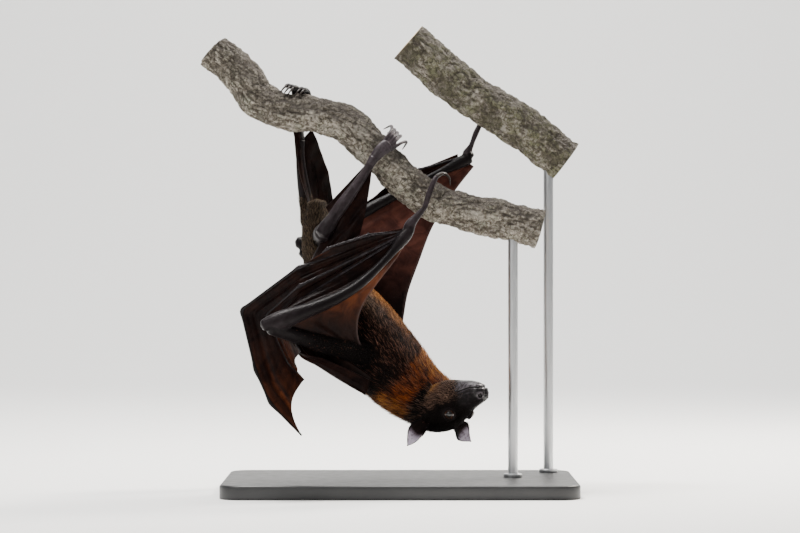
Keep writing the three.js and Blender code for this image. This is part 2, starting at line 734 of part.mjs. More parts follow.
function placeArmSkins(wing) {
  const line = (points) => edgeAlong(smoothLine(points));
  const front = stretchedSkin(line(wing.frontRoot), line(wing.frontEdge), {
    stations: evenly(9, 0.06),
    columns: 2,
  });
  place(`wing_skin_${wing.side}_front`, front, FINISH.wingSkin);
  for (const part of ["leg", "side"]) {
    const { bodyEdge, armEdge, billow } = wing[`${part}Skin`];
    const build = stretchedSkin(line(bodyEdge), line(armEdge), {
      stations: evenly(6),
      columns: 3,
      sag: (reach, v) => billow.clone().multiplyScalar(hump(v)),
    });
    place(`wing_skin_${wing.side}_${part}`, build, FINISH.wingSkin);
  }
}

// The skin between the forearm and the first bone of finger 5. On the right wing these two lie
// against each other, so only the left wing shows it.
function placeForearmSkin(wing) {
  const besideForearm = FOREARM_RADIUS[1][1] + GAP;
  const forearm = edgeAlong(smoothLine([...wing.forearm].reverse()), { inset: () => besideForearm });
  const pocket = stretchedSkin(fingerEdge(wing.fingers[5], 1), forearm, {
    stations: evenly(5, 0.25),
    columns: 1,
  });
  place(`wing_skin_${wing.side}_forearm`, pocket, FINISH.wingSkin);
}

function placeWings() {
  for (const wing of WINGS) {
    const { side } = wing;
    const limb = (points, steps, ring, sides) => (grow) =>
      sweep(smoothLine(points), evenly(steps), ring, { sides, grow, deepAxis: at(0.2, 0.9, 0.3) });
    place(`thumb_claw_${side}`, limb(wing.thumbClaw, 5, roundRing(THUMB_CLAW_RADIUS), 6), FINISH.claw);
    place(`thumb_${side}`, limb(wing.thumb, 5, roundRing(THUMB_RADIUS), 6), FINISH.bareSkin);
    place(`forearm_${side}`, limb(wing.forearm, 9, roundRing(FOREARM_RADIUS), 9), FINISH.bareSkin);
    place(`upper_arm_${side}`, limb(wing.upperArm, 4, roundRing(UPPER_ARM_RADIUS), 8), FINISH.coatBrown);
    for (const [number, points] of Object.entries(wing.fingers)) {
      place(`finger_${number}_${side}`, (grow) => finger(points, grow), FINISH.bareSkin);
    }
  }
}

function placeLegSkins() {
  for (const { side, legEdge, bodyEdge } of LEG_SKINS) {
    const build = stretchedSkin(edgeAlong(smoothLine(legEdge)), edgeAlong(smoothLine(bodyEdge)), {
      stations: evenly(4),
      columns: 1,
    });
    place(`leg_skin_${side}`, build, FINISH.wingSkin);
  }
}

placeStandAndPerch();
placeHead();
placeTrunk();
placeLegs();
placeWings();
for (const wing of WINGS) {
  placeFingerSkins(wing);
  placeArmSkins(wing);
}
placeForearmSkin(WINGS[0]);
placeLegSkins();

export default bat;
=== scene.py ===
# A large flying fox, life size, hanging head down from a branch on a display stand.
import math

import bpy
import numpy as np
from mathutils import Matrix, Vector, noise
from mathutils.kdtree import KDTree


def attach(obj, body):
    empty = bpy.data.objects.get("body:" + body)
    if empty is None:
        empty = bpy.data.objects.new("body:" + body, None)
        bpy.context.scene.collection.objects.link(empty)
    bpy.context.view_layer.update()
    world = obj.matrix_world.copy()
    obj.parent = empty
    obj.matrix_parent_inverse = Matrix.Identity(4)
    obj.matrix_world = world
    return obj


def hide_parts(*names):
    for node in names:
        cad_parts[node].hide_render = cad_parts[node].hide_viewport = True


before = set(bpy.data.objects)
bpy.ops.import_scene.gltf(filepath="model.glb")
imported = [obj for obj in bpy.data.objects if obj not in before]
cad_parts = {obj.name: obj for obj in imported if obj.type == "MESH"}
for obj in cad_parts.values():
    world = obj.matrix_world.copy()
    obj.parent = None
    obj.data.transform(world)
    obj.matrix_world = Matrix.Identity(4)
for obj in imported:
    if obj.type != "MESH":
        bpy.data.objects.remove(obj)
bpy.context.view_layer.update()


# ---------------------------------------------------------------- the studio
# A plain pale floor that sweeps up far behind, with soft light from wide lamps. The camera
# stands level, three metres to the bat's left, with a long lens.
MM = 0.001
CAMERA_PLACE = (0, -3.0, 0.225)
CAMERA_LENS = 135
FLOOR_NEAR = -7000
FLOOR_HALF_WIDTH = 9000
SWEEP_START = 2600
SWEEP_RADIUS = 1800
SWEEP_TOP = 6000
FLOOR_COLOUR = (0.86, 0.855, 0.84, 1)
ROOM_COLOUR = (0.88, 0.9, 0.93, 1)
ROOM_LIGHT = 0.34
# name: place, what it points at, size, power, colour
LAMPS = {
    "top_light": ((-0.25, 0.1, 1.6), (0, 0, 0.25), 0.4, 46, (1, 0.98, 0.95)),
    "key_light": ((-1.1, -1.9, 1.5), (-0.02, 0, 0.22), 0.6, 26, (1, 0.98, 0.95)),
    "rim_light": ((0.9, 0.8, 1.2), (0, 0, 0.2), 0.3, 48, (1, 0.94, 0.85)),
    "back_light": ((0, 1.4, 3.2), (0, 3.6, 0.6), 2.2, 230, (1, 0.99, 0.97)),
}

camera_data = bpy.data.cameras.new("camera")
camera_data.lens = CAMERA_LENS
camera_data.clip_end = 100
camera = bpy.data.objects.new("camera", camera_data)
camera.location = CAMERA_PLACE
camera.rotation_euler = (math.pi / 2, 0, 0)
bpy.context.scene.collection.objects.link(camera)
bpy.context.scene.camera = camera

for name, (place, target, size, power, colour) in LAMPS.items():
    lamp_data = bpy.data.lights.new(name, "AREA")
    lamp_data.size = size
    lamp_data.energy = power
    lamp_data.color = colour
    lamp = bpy.data.objects.new(name, lamp_data)
    lamp.location = place
    lamp.rotation_euler = (Vector(target) - Vector(place)).to_track_quat("-Z", "Y").to_euler()
    bpy.context.scene.collection.objects.link(lamp)

world = bpy.data.worlds.new("room")
world.use_nodes = True
world.node_tree.nodes["Background"].inputs["Color"].default_value = ROOM_COLOUR
world.node_tree.nodes["Background"].inputs["Strength"].default_value = ROOM_LIGHT
bpy.context.scene.world = world


class Wire:
    """An output socket of a material's node. Sums on wires add the nodes that work them out."""

    def __init__(self, tree, socket=None):
        self.tree = tree
        self.socket = socket

    def node(self, kind, settings=None, inputs=None, output=0):
        made = self.tree.nodes.new(kind)
        for setting, value in (settings or {}).items():
            setattr(made, setting, value)
        for key, value in (inputs or {}).items():
            if isinstance(value, Wire):
                self.tree.links.new(value.socket, made.inputs[key])
            else:
                made.inputs[key].default_value = value
        return Wire(self.tree, made.outputs[output])

    def maths(self, operation, a, b):
        return self.node("ShaderNodeMath", {"operation": operation}, {0: a, 1: b})

    def __add__(self, other):
        return self.maths("ADD", self, other)

    __radd__ = __add__

    def __mul__(self, other):
        return self.maths("MULTIPLY", self, other)

    __rmul__ = __mul__

    def __rsub__(self, other):
        return self.maths("SUBTRACT", other, self)

    def within(self, low, high):
        """0 below low, 1 above high, and smooth between."""
        settings = {"interpolation_type": "SMOOTHSTEP"}
        return self.node("ShaderNodeMapRange", settings, {0: self, 1: low, 2: high})

    def mixed(self, a, b):
        """The colour a where this wire is 0, b where it is 1."""
        inputs = {0: self}
        for place, colour in ((6, a), (7, b)):
            if not isinstance(colour, Wire) and len(colour) == 3:
                colour = (*colour, 1)
            inputs[place] = colour
        return self.node("ShaderNodeMix", {"data_type": "RGBA"}, inputs, 2)

    def place(self, stretch=(1, 1, 1)):
        """The point on the piece in metres, stretched."""
        here = self.node("ShaderNodeTexCoord", output=3)
        return self.node("ShaderNodeVectorMath", {"operation": "MULTIPLY"}, {0: here, 1: stretch})

    def noise(self, grain, detail=4, rough=0.55, twist=0.0, at=None):
        """Cloudy noise whose largest spots are about grain metres across."""
        inputs = {
            "Vector": at or self.place(),
            "Scale": 1 / grain,
            "Detail": detail,
            "Roughness": rough,
            "Distortion": twist,
        }
        return self.node("ShaderNodeTexNoise", inputs=inputs)

    def attribute(self, name, output="Fac"):
        return self.node("ShaderNodeAttribute", {"attribute_name": name}, output=output)

    def feed(self, shader_socket, wire):
        self.tree.links.new(wire.socket, self.tree.nodes["Principled BSDF"].inputs[shader_socket])

    def bump(self, height, depth):
        """Raises the surface by up to depth metres where height is 1."""
        normal = self.node("ShaderNodeBump", None, {"Height": height, "Distance": depth, "Strength": 1})
        self.feed("Normal", normal)


def finish_named(name, **constants):
    material = bpy.data.materials.new(name)
    material.use_nodes = True
    shader = material.node_tree.nodes["Principled BSDF"]
    for socket, value in constants.items():
        shader.inputs[socket.replace("_", " ")].default_value = value
    return material, Wire(material.node_tree)


def make_piece(name, points, faces, material):
    """A mesh from points in millimetres."""
    mesh = bpy.data.meshes.new(name)
    mesh.from_pydata((np.asarray(points) * MM).tolist(), [], [tuple(face) for face in faces])
    mesh.polygons.foreach_set("use_smooth", [True] * len(mesh.polygons))
    mesh.materials.append(material)
    mesh.update()
    piece = bpy.data.objects.new(name, mesh)
    bpy.context.scene.collection.objects.link(piece)
    return piece


floor_finish, wire = finish_named("floor", Roughness=0.9)
wire.feed("Base Color", wire.noise(0.8).within(0, 1).mixed(FLOOR_COLOUR, (0.84, 0.835, 0.82)))
side_view = [(FLOOR_NEAR, 0)] + [
    (SWEEP_START + SWEEP_RADIUS * math.sin(turn), SWEEP_RADIUS * (1 - math.cos(turn)))
    for turn in np.linspace(0, math.pi / 2, 40)
] + [(SWEEP_START + SWEEP_RADIUS, SWEEP_TOP)]
floor_points = [(x * FLOOR_HALF_WIDTH, y, z) for y, z in side_view for x in (-1, 1)]
floor_faces = [(k, k + 1, k + 3, k + 2) for k in range(0, len(floor_points) - 2, 2)]
floor = make_piece("floor", floor_points, floor_faces, floor_finish)


# ---------------------------------------------------------------- the stand's base
# A flat board cut with round corners, its top edge eased with a router, and painted satin
# black. It lies flat on the floor and carries both rods.
BOARD_LENGTH = 350
BOARD_WIDTH = 230
BOARD_HEIGHT = 14
BOARD_CORNER = 22
BOARD_EASE = 2.5

paint, wire = finish_named("satin_black_paint", Specular_IOR_Level=0.45)
wire.feed("Base Color", wire.noise(0.05).within(0.3, 0.7).mixed((0.018, 0.018, 0.019), (0.026, 0.026, 0.027)))
wire.feed("Roughness", wire.noise(0.012, 6) * 0.18 + 0.34)
wire.bump(wire.noise(0.0015, 3), 0.00004)


def board_ring(inset, height):
    ring = []
    for x, y, turn in ((1, 1, 0), (-1, 1, 90), (-1, -1, 180), (1, -1, 270)):
        for step in range(13):
            angle = math.radians(turn + 90 * step / 12)
            radius = BOARD_CORNER - inset
            ring.append((
                x * (BOARD_LENGTH / 2 - BOARD_CORNER) + radius * math.cos(angle),
                y * (BOARD_WIDTH / 2 - BOARD_CORNER) + radius * math.sin(angle),
                height,
            ))
    return ring


def stacked(rings):
    """Points and faces of rings set one on another, closed at both ends."""
    count = len(rings[0])
    points = [point for ring in rings for point in ring]
    faces = [tuple(range(count - 1, -1, -1))]
    for row in range(len(rings) - 1):
        for k in range(count):
            a, b = row * count + k, row * count + (k + 1) % count
            faces.append((a, b, b + count, a + count))
    faces.append(tuple(range(len(points) - count, len(points))))
    return points, faces


eased = [
    (BOARD_EASE * (1 - math.cos(turn)), BOARD_HEIGHT - BOARD_EASE * (1 - math.sin(turn)))
    for turn in np.linspace(0, math.pi / 2, 6)
]
board_rings = [board_ring(0.6, 0), board_ring(0, 0.6)] + [board_ring(*place) for place in eased]
board = make_piece("stand_board", *stacked(board_rings), paint)
board.data.polygons[0].use_smooth = board.data.polygons[-1].use_smooth = False
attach(board, "root")
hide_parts("stand_base")


# ---------------------------------------------------------------- the stand's rods
# Two brushed steel rods. Each stands in a drilled hole in the board, with a low turned collar
# round its foot, and ends inside the branch that it carries.
ROD_RADIUS = 5
ROD_INTO_BOARD = 8
COLLAR = ((9.5, 0), (9.5, 3), (8.9, 3.8), (5.4, 4.2))
RODS = {"front": ((113, 3), 262), "back": ((152, 74), 336)}

steel, wire = finish_named("brushed_steel", Metallic=1.0)
brushing = wire.noise(0.0006, 2, at=wire.place((1, 1, 0.03)))
wire.feed("Base Color", brushing.mixed((0.5, 0.51, 0.52), (0.66, 0.67, 0.68)))
wire.feed("Roughness", brushing * 0.2 + 0.24)
wire.bump(brushing, 0.00002)

for name, ((x, y), top) in RODS.items():
    outline = [(ROD_RADIUS, -ROD_INTO_BOARD)]
    outline += [(radius, height) for radius, height in COLLAR] + [(ROD_RADIUS, COLLAR[-1][1])]
    outline += [(ROD_RADIUS, top - BOARD_HEIGHT)]
    turns = np.linspace(0, 2 * math.pi, 48, endpoint=False)
    rings = [
        [(x + radius * math.cos(a), y + radius * math.sin(a), BOARD_HEIGHT + height) for a in turns]
        for radius, height in outline
    ]
    rod = make_piece(f"stand_rod_{name}_turned", *stacked(rings), steel)
    rod.modifiers.new("crease", "EDGE_SPLIT").split_angle = math.radians(35)
    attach(rod, "root")
    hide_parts(f"stand_rod_{name}")


# ---------------------------------------------------------------- the perch
# Two cut lengths of living branch. The bark is grey-tan, cracked into small flaky plates and
# spotted with pale and olive lichen, with painted shade in the cracks, in the low places between
# the plates and on the underside. The ends are sawn.
FRONT_BRANCH = [
    (-187, 14, 442), (-156, 9, 413), (-141, 6, 391), (-114, 3, 380), (-83, 2, 376), (-55, 1, 367),
    (-35, 0, 350), (-16, 0, 332), (4, 0, 311), (26, 0, 295), (50, 1, 284), (80, 2, 277),
    (107, 3, 271), (140, 5, 262),
]
BACK_BRANCH = [(8, 66, 454), (59, 70, 410), (86, 72, 391), (115, 73, 374), (170, 75, 333)]
FRONT_RADIUS = 20
BACK_RADIUS = 23
BARK_RELIEF = 1.2
BARK_ROW = 1.25
BARK_SIDES = 110


class Line:
    """A smooth line through points, measured by parts of its length."""

    def __init__(self, points, smooth=True):
        p = np.asarray(points, float)
        if smooth and len(p) > 2:
            ends = np.vstack([2 * p[0] - p[1], p, 2 * p[-1] - p[-2]])
            places = []
            for p0, p1, p2, p3 in zip(ends, ends[1:], ends[2:], ends[3:]):
                d0, d1, d2 = (
                    max(np.linalg.norm(b - a) ** 0.5, 1e-4) for a, b in ((p0, p1), (p1, p2), (p2, p3))
                )
                leave = ((p1 - p0) / d0 - (p2 - p0) / (d0 + d1) + (p2 - p1) / d1) * d1
                arrive = ((p2 - p1) / d1 - (p3 - p1) / (d1 + d2) + (p3 - p2) / d2) * d1
                s = np.linspace(0, 1, 40, endpoint=False)[:, None]
                places.append(
                    p1 + leave * s + (3 * (p2 - p1) - 2 * leave - arrive) * s**2
                    + (2 * (p1 - p2) + leave + arrive) * s**3
                )
            p = np.vstack([*places, p[-1:]])
        steps = np.linalg.norm(np.diff(p, axis=0), axis=1)
        self.points = p
        self.length = steps.sum()
        self.parts = np.concatenate([[0], np.cumsum(steps)]) / self.length

    def at(self, t):
        return np.stack([np.interp(t, self.parts, self.points[:, k]) for k in range(3)], -1)

    def run(self, t, step=0.004):
        ahead = self.at(np.minimum(t + step, 1)) - self.at(np.maximum(t - step, 0))
        return ahead / np.linalg.norm(ahead, axis=-1, keepdims=True)


def unit(vectors):
    return vectors / np.maximum(np.linalg.norm(vectors, axis=-1, keepdims=True), 1e-9)


def tube(line, stations, sizes, sides, deep_axis=(0, 0, 1), swell=None, round_ends=0.0):
    """Points and faces of a closed tube. sizes(t) gives half width, half depth and shift."""
    stations = np.asarray(stations, float)
    centres = line.at(stations)
    run = line.run(stations)
    deep = np.asarray(deep_axis, float)
    deep = unit(deep - run * (run @ deep)[:, None])
    wide = np.cross(run, deep)
    wide_size, deep_size, shift = (
        np.broadcast_to(np.asarray(s, float), stations.shape) for s in sizes(stations)
    )
    angles = np.linspace(0, 2 * math.pi, sides, endpoint=False)
    extra = swell(stations[:, None], angles[None, :]) if swell else 0
    across = np.cos(angles)[None, :] * (wide_size[:, None] + extra)
    depth = np.sin(angles)[None, :] * (deep_size[:, None] + extra)
    centres = centres + deep * shift[:, None]
    points = centres[:, None] + wide[:, None] * across[..., None] + deep[:, None] * depth[..., None]
    first = centres[0] - run[0] * round_ends
    last = centres[-1] + run[-1] * round_ends
    points = np.vstack([points.reshape(-1, 3), first, last])
    rows = np.arange(len(stations) - 1)[:, None] * sides
    k = np.arange(sides)[None, :]
    a, b = (rows + k).ravel(), (rows + (k + 1) % sides).ravel()
    faces = np.stack([a, b, b + sides, a + sides], -1).tolist()
    low, high = len(points) - 2, len(points) - 1
    top = (len(stations) - 1) * sides
    faces += [(low, (j + 1) % sides, j) for j in range(sides)]
    faces += [(high, top + j, top + (j + 1) % sides) for j in range(sides)]
    return points, faces


def rough_bark(line, radius, seed):
    """How far the bark stands out at each part of the length and each angle round the branch."""
    def swell(t, angle):
        out = np.zeros(np.broadcast(t, angle).shape)
        flat_t = np.broadcast_to(t, out.shape)
        flat_a = np.broadcast_to(angle, out.shape)
        shift = Vector((seed, seed, seed))
        for place in np.ndindex(out.shape):
            turn = flat_a[place]
            p = Vector((math.cos(turn), math.sin(turn), flat_t[place] * line.length / radius))
            knob = noise.noise(p * 0.9 + shift) * 2.8
            plate = noise.voronoi(Vector((p.x * 3.1, p.y * 3.1, p.z * 1.5)) + shift * 2)[0]
            edge = min((plate[1] - plate[0]) * 3.2, 1)
            grain = noise.fractal(Vector((p.x * 7, p.y * 7, p.z * 3)) + shift, 1.0, 2.1, 4)
            fine = noise.noise(Vector((p.x * 26, p.y * 26, p.z * 16)) + shift)
            out[place] = knob + edge * 1.3 + grain * 1.3 + fine * 0.4 - 1.2
        return out
    return swell


bark, wire = finish_named("bark", Specular_IOR_Level=0.25)
bend = wire.node("ShaderNodeVectorMath", {"operation": "ADD"}, {
    0: wire.place(),
    1: wire.node("ShaderNodeVectorMath", {"operation": "SCALE"}, {
        0: wire.node(
            "ShaderNodeTexNoise", None, {"Vector": wire.place(), "Scale": 130.0, "Detail": 5.0}, 1,
        ),
        3: 0.012,
    }),
})
cracks = wire.node(
    "ShaderNodeTexVoronoi", {"feature": "DISTANCE_TO_EDGE"},
    {"Vector": bend, "Scale": 170.0, "Randomness": 1.0},
)
grain = wire.noise(0.004, 8, 0.7, 0.6)
patches = wire.noise(0.022, 5, 0.6, 1.0)
lichen = wire.noise(0.011, 7, 0.65, 0.4)
moss = wire.attribute("moss")
underside = wire.attribute("underside")
bark_colour = grain.within(0.36, 0.64).mixed((0.07, 0.056, 0.042), (0.46, 0.415, 0.345))
bark_colour = (patches.within(0.45, 0.66) * 0.5).mixed(bark_colour, (0.33, 0.31, 0.27))
bark_colour = (lichen.within(0.52, 0.68) * 0.5).mixed(bark_colour, (0.36, 0.365, 0.29))
bark_colour = (moss * lichen.within(0.35, 0.6)).mixed(bark_colour, (0.14, 0.14, 0.075))
# Near-black in the cracks between the plates: painted shade.
bark_colour = ((1 - cracks.within(0.0, 0.09)) * lichen.within(0.36, 0.56) * 0.85).mixed(
    bark_colour, (0.032, 0.025, 0.019),
)
# Darker where the bark lies low between raised plates and grain: painted shade.
bark_colour = ((1 - (wire.attribute("crest") + grain * 0.5).within(0.14, 0.48)) * 0.8).mixed(
    bark_colour, (0.05, 0.04, 0.031),
)
# Darker on the underside: painted shade.
bark_colour = (underside * 0.85).mixed(bark_colour, (0.025, 0.019, 0.015))
wire.feed("Base Color", bark_colour)
wire.feed("Roughness", grain * 0.2 + 0.75)
wire.bump(grain + cracks.within(0, 0.12) * 0.3, 0.002)

sawn, wire = finish_named("sawn_wood", Roughness=0.8)
rings_of_growth = wire.noise(0.006, 3, 0.5, 2.0)
wire.feed("Base Color", rings_of_growth.within(0.35, 0.65).mixed((0.42, 0.28, 0.16), (0.58, 0.43, 0.27)))
wire.bump(rings_of_growth, 0.0003)

for name, points, radius, seed, mossy in (
    ("front", FRONT_BRANCH, FRONT_RADIUS, 3.7, 0.15),
    ("back", BACK_BRANCH, BACK_RADIUS, 11.3, 0.85),
):
    line = Line(points)
    rows = round(line.length / BARK_ROW)
    stations = np.linspace(0, 1, rows)
    bark_points, bark_faces = tube(
        line, stations, lambda t: (radius - BARK_RELIEF, radius - BARK_RELIEF, 0), BARK_SIDES,
        swell=rough_bark(line, radius, seed),
    )
    branch = make_piece(f"branch_{name}", bark_points, bark_faces, bark)
    branch.data.materials.append(sawn)
    is_end = np.arange(len(branch.data.polygons)) >= (rows - 1) * BARK_SIDES
    branch.data.polygons.foreach_set("material_index", is_end.astype(int).tolist())
    normals = np.zeros(len(branch.data.vertices) * 3)
    branch.data.vertices.foreach_get("normal", normals)
    normals = normals.reshape(-1, 3)
    centre = np.repeat(line.at(stations), BARK_SIDES, axis=0)
    lift = np.linalg.norm(bark_points[:-2] - centre, axis=1) - radius
    # How far the bark stands out, used for the painted shade in its low places.
    crest = np.append(np.clip(lift / 3 + 0.6, 0, 1), [0.5, 0.5])
    for key, values in (
        ("moss", np.full(len(normals), mossy)),
        # How much the bark faces down, for the painted shade on its underside.
        ("underside", np.clip(-normals[:, 2] * 1.5 + 0.05, 0, 1)),
        ("crest", crest),
    ):
        branch.data.attributes.new(key, "FLOAT", "POINT").data.foreach_set("value", values)
    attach(branch, "root")
    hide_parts(f"perch_{name}")


# ---------------------------------------------------------------- trunk, arms and legs
# The skin of the body under its coat, in one piece with the arms and legs. Knees, wrists and
# feet are bare: wrinkled grey-brown skin, stretched over the bones, with a low sheen.
MIDLINE = [
    (-83, 4, 288), (-82, 4, 260), (-74, 2, 226), (-57, 0, 192), (-34, 0, 160), (-13, 0, 130),
    (4, -1, 111), (20, -4, 98), (34, -8, 90), (41, -11, 86),
]
BELLY_SIDE = (0.8, 0, 0.6)
BODY_DEPTH = [
    (0, 13), (0.1, 19), (0.25, 25), (0.4, 33), (0.56, 39), (0.71, 41), (0.81, 39), (0.9, 35), (1, 29),
]
BODY_WIDTH = [
    (0, 16), (0.1, 23), (0.25, 30), (0.4, 35), (0.56, 40), (0.71, 41), (0.81, 36), (0.9, 32), (1, 27),
]
COAT_DEPTH = [(0, 4.5), (0.25, 5), (0.5, 6.5), (0.72, 8), (0.9, 8.5), (1, 7)]
FOREARM_RADIUS = [(0, 5.5), (0.06, 8.1), (0.3, 6.8), (0.6, 5), (0.85, 4.3), (0.97, 6.4), (1, 6)]
UPPER_ARM_RADIUS = [(0, 11), (0.3, 10.5), (0.7, 8), (1, 7)]
WRIST_RADIUS = [(0, 6), (0.25, 5.6), (0.6, 3.6), (1, 2.6)]
THUMB_RADIUS = [(0, 4.3), (0.3, 2.7), (0.62, 3.1), (1, 2.6)]
THIGH_RADIUS = [(0, 13), (0.5, 11), (1, 9)]
SHIN_RADIUS = [(0, 7.4), (0.1, 8), (0.2, 6.6), (0.4, 6.5), (0.7, 5), (0.93, 4.5), (1, 5)]
FOOT_HALF_WIDTH = [(0, 5), (0.5, 6.2), (0.85, 6.6), (1, 5.4)]
TOE_RADIUS = [(0, 2.3), (0.22, 1.75), (0.42, 1.45), (0.6, 1.75), (0.7, 1.5), (1, 1.2)]
ARMS = {
    "left": {
        "upper_arm": [(-2, 0, 130), (-30, -26, 137), (-80, -70, 151), (-125, -102, 166)],
        "forearm": [
            (-133, -104, 168), (-123, -102, 171), (-96, -92, 180), (-68, -80, 191),
            (-42, -66, 206), (-15, -50, 231), (8, -36, 259),
        ],
        "thumb": [(10, -34, 266), (24, -31, 283), (28, -29, 295), (33, -27, 308), (36, -24, 314)],
        "thumb_claw": [(36, -24, 314), (43, -18, 317.5), (49, -12, 313.5), (50, -9, 306)],
    },
    "right": {
        "upper_arm": [(-4, 16, 136), (-14, 36, 140), (-58, 52, 196), (-98, 50, 242)],
        "forearm": [
            (-105, 50, 250), (-98, 51, 249), (-70, 62, 261), (-20, 76, 290), (32, 87, 317),
            (72, 92, 337),
        ],
        "thumb": [(69, 92, 342), (73, 93, 349), (78, 95, 362), (84, 99, 374)],
        "thumb_claw": [(84, 99, 374), (87, 103, 384), (92, 101, 392), (96, 97, 397)],
    },
}
LEGS = {
    "left": {
        "thigh": [(-74, -8, 252), (-76, -28, 256), (-75, -44, 259)],
        "shin": [(-77, -48, 256), (-59, -42, 283), (-41, -35, 308), (-26, -28, 332)],
        "foot": [(-26, -28, 332), (-19, -27.5, 340), (-11, -25, 346)],
        "grip": {
            "centre": (-16, 0, 332), "run": (0.68, 0, -0.73), "turn": (24, 112), "lifts": (6, 9.5, 9, 7.5, 2),
        },
        "toes": [(-12, -23), (-9.5, -17.5), (-7, -12), (-4.5, -6.5), (-2, 5)],
    },
    "right": {
        "thigh": [(-80, 8, 262), (-84, 22, 266), (-87, 32, 268)],
        "shin": [(-90, 34, 264), (-96, 31, 297), (-100, 27, 327), (-101, 24, 352)],
        "foot": [(-101, 24, 352), (-104, 32, 373), (-104, 20, 398)],
        "grip": {
            "centre": (-114, 3, 380), "run": (0.97, 0, -0.24), "turn": (132, 50),
            "lifts": (4.5, 6.5, 6, 5, 1),
        },
        "toes": [(4, -10), (7, -6), (10, -2), (16, 5), (19, 9)],
    },
}
TOE_BOLD = {"left": 1.0, "right": 1.35}
CLAW_FROM = 0.66
BODY_VOXEL = 1.2
FOOT_VOXEL = 0.5
ANKLE = 0.7
ANKLE_TAPER = 0.24


def along(stops, t):
    """The value at t on a smooth line through (place, value) stops."""
    places, values = (np.array(column, float) for column in zip(*stops))
    slopes = np.gradient(values, places)
    t = np.clip(np.asarray(t, float), places[0], places[-1])
    i = np.clip(np.searchsorted(places, t, side="right") - 1, 0, len(places) - 2)
    span = places[i + 1] - places[i]
    s = (t - places[i]) / span
    rise = s * s * (3 - 2 * s)
    return (
        values[i] * (1 - rise) + values[i + 1] * rise
        + s * (1 - s) ** 2 * span * slopes[i] + s * s * (s - 1) * span * slopes[i + 1]
    )


def round_tube(points, stops, sides, rows):
    def sizes(t):
        radius = along(stops, t)
        return radius, radius, 0
    ends = float(along(stops, 0)) * 0.4
    return tube(Line(points), np.linspace(0, 1, rows), sizes, sides, (0, 1, 0.2), round_ends=ends)


def toe_line(grip, ends):
    run = np.array(grip["run"], float)
    front = np.array((0, -1, 0), float)
    top = np.cross(front, run)
    points = []
    for part, lift in zip(np.linspace(0, 1, 5), grip["lifts"]):
        turn = math.radians(grip["turn"][0] + (grip["turn"][1] - grip["turn"][0]) * part)
        reach = FRONT_RADIUS + lift
        step = ends[0] + (ends[1] - ends[0]) * part
        points.append(
            np.array(grip["centre"]) + run * step
            + front * reach * math.cos(turn) + top * reach * math.sin(turn)
        )
    return points


midline = Line(MIDLINE)
flesh = {}
flesh["trunk"] = tube(
    midline, np.linspace(0, 1, 120),
    lambda t: (along(BODY_WIDTH, t) - along(COAT_DEPTH, t), along(BODY_DEPTH, t) - along(COAT_DEPTH, t), 0),
    72, BELLY_SIDE, round_ends=4,
)
for side, leg in LEGS.items():
    flesh[f"thigh_{side}"] = round_tube(leg["thigh"], THIGH_RADIUS, 32, 30)
    flesh[f"shin_{side}"] = round_tube(leg["shin"], SHIN_RADIUS, 32, 90)
    foot_line = Line(leg["foot"])
    flesh[f"foot_{side}"] = tube(
        foot_line, np.linspace(0, 1, 24), lambda t: (3.9 - 1.5 * t**2, along(FOOT_HALF_WIDTH, t), 0),
        32, leg["grip"]["run"], round_ends=2.5,
    )
    for i, ends in enumerate(leg["toes"]):
        toe = Line(toe_line(leg["grip"], ends))
        flesh[f"toe_{side}_{i}"] = tube(
            toe, np.linspace(0, CLAW_FROM + 0.05, 40),
            lambda t: (TOE_BOLD[side] * along(TOE_RADIUS, t),) * 2 + (0,),
            16, leg["grip"]["run"], round_ends=1,
        )
for side, arm in ARMS.items():
    flesh[f"upper_arm_{side}"] = round_tube(arm["upper_arm"], UPPER_ARM_RADIUS, 32, 70)
    flesh[f"forearm_{side}"] = round_tube(arm["forearm"], FOREARM_RADIUS, 32, 140)
    flesh[f"thumb_{side}"] = round_tube(arm["thumb"], THUMB_RADIUS, 20, 60)
    flesh[f"wrist_{side}"] = round_tube(
        [arm["forearm"][-1], arm["thumb"][0], arm["thumb"][1]], WRIST_RADIUS, 24, 30,
    )


def joined(shapes):
    """Points and faces of several shapes as one list of each."""
    points, faces, count = [], [], 0
    for shape_points, shape_faces in shapes:
        points.append(np.asarray(shape_points))
        faces += [tuple(k + count for k in face) for face in shape_faces]
        count += len(shape_points)
    return np.vstack(points), faces


def fused(shapes, voxel, relax):
    """One closed skin round overlapping shapes, its creases relaxed."""
    scratch = make_piece("scratch", *joined(shapes), None)
    remesh = scratch.modifiers.new("remesh", "REMESH")
    remesh.mode = "VOXEL"
    remesh.voxel_size = voxel * MM
    soften = scratch.modifiers.new("soften", "SMOOTH")
    soften.factor = 0.5
    soften.iterations = relax
    result = scratch.evaluated_get(bpy.context.evaluated_depsgraph_get()).to_mesh()
    points = np.zeros(len(result.vertices) * 3)
    result.vertices.foreach_get("co", points)
    faces = [tuple(face.vertices) for face in result.polygons]
    bpy.data.objects.remove(scratch)
    return points.reshape(-1, 3) / MM, faces


def point_normals(points, faces):
    corners = np.array([face[:4] if len(face) > 3 else (*face, face[2]) for face in faces])
    a, b, c, d = (points[corners[:, k]] for k in range(4))
    across = np.cross(c - a, d - b)
    flat = np.cross(b - a, c - a)
    across = np.where((corners[:, 2] == corners[:, 3])[:, None], flat, across)
    normals = np.zeros_like(points)
    for k in range(4):
        np.add.at(normals, corners[:, k], across)
    return unit(normals)


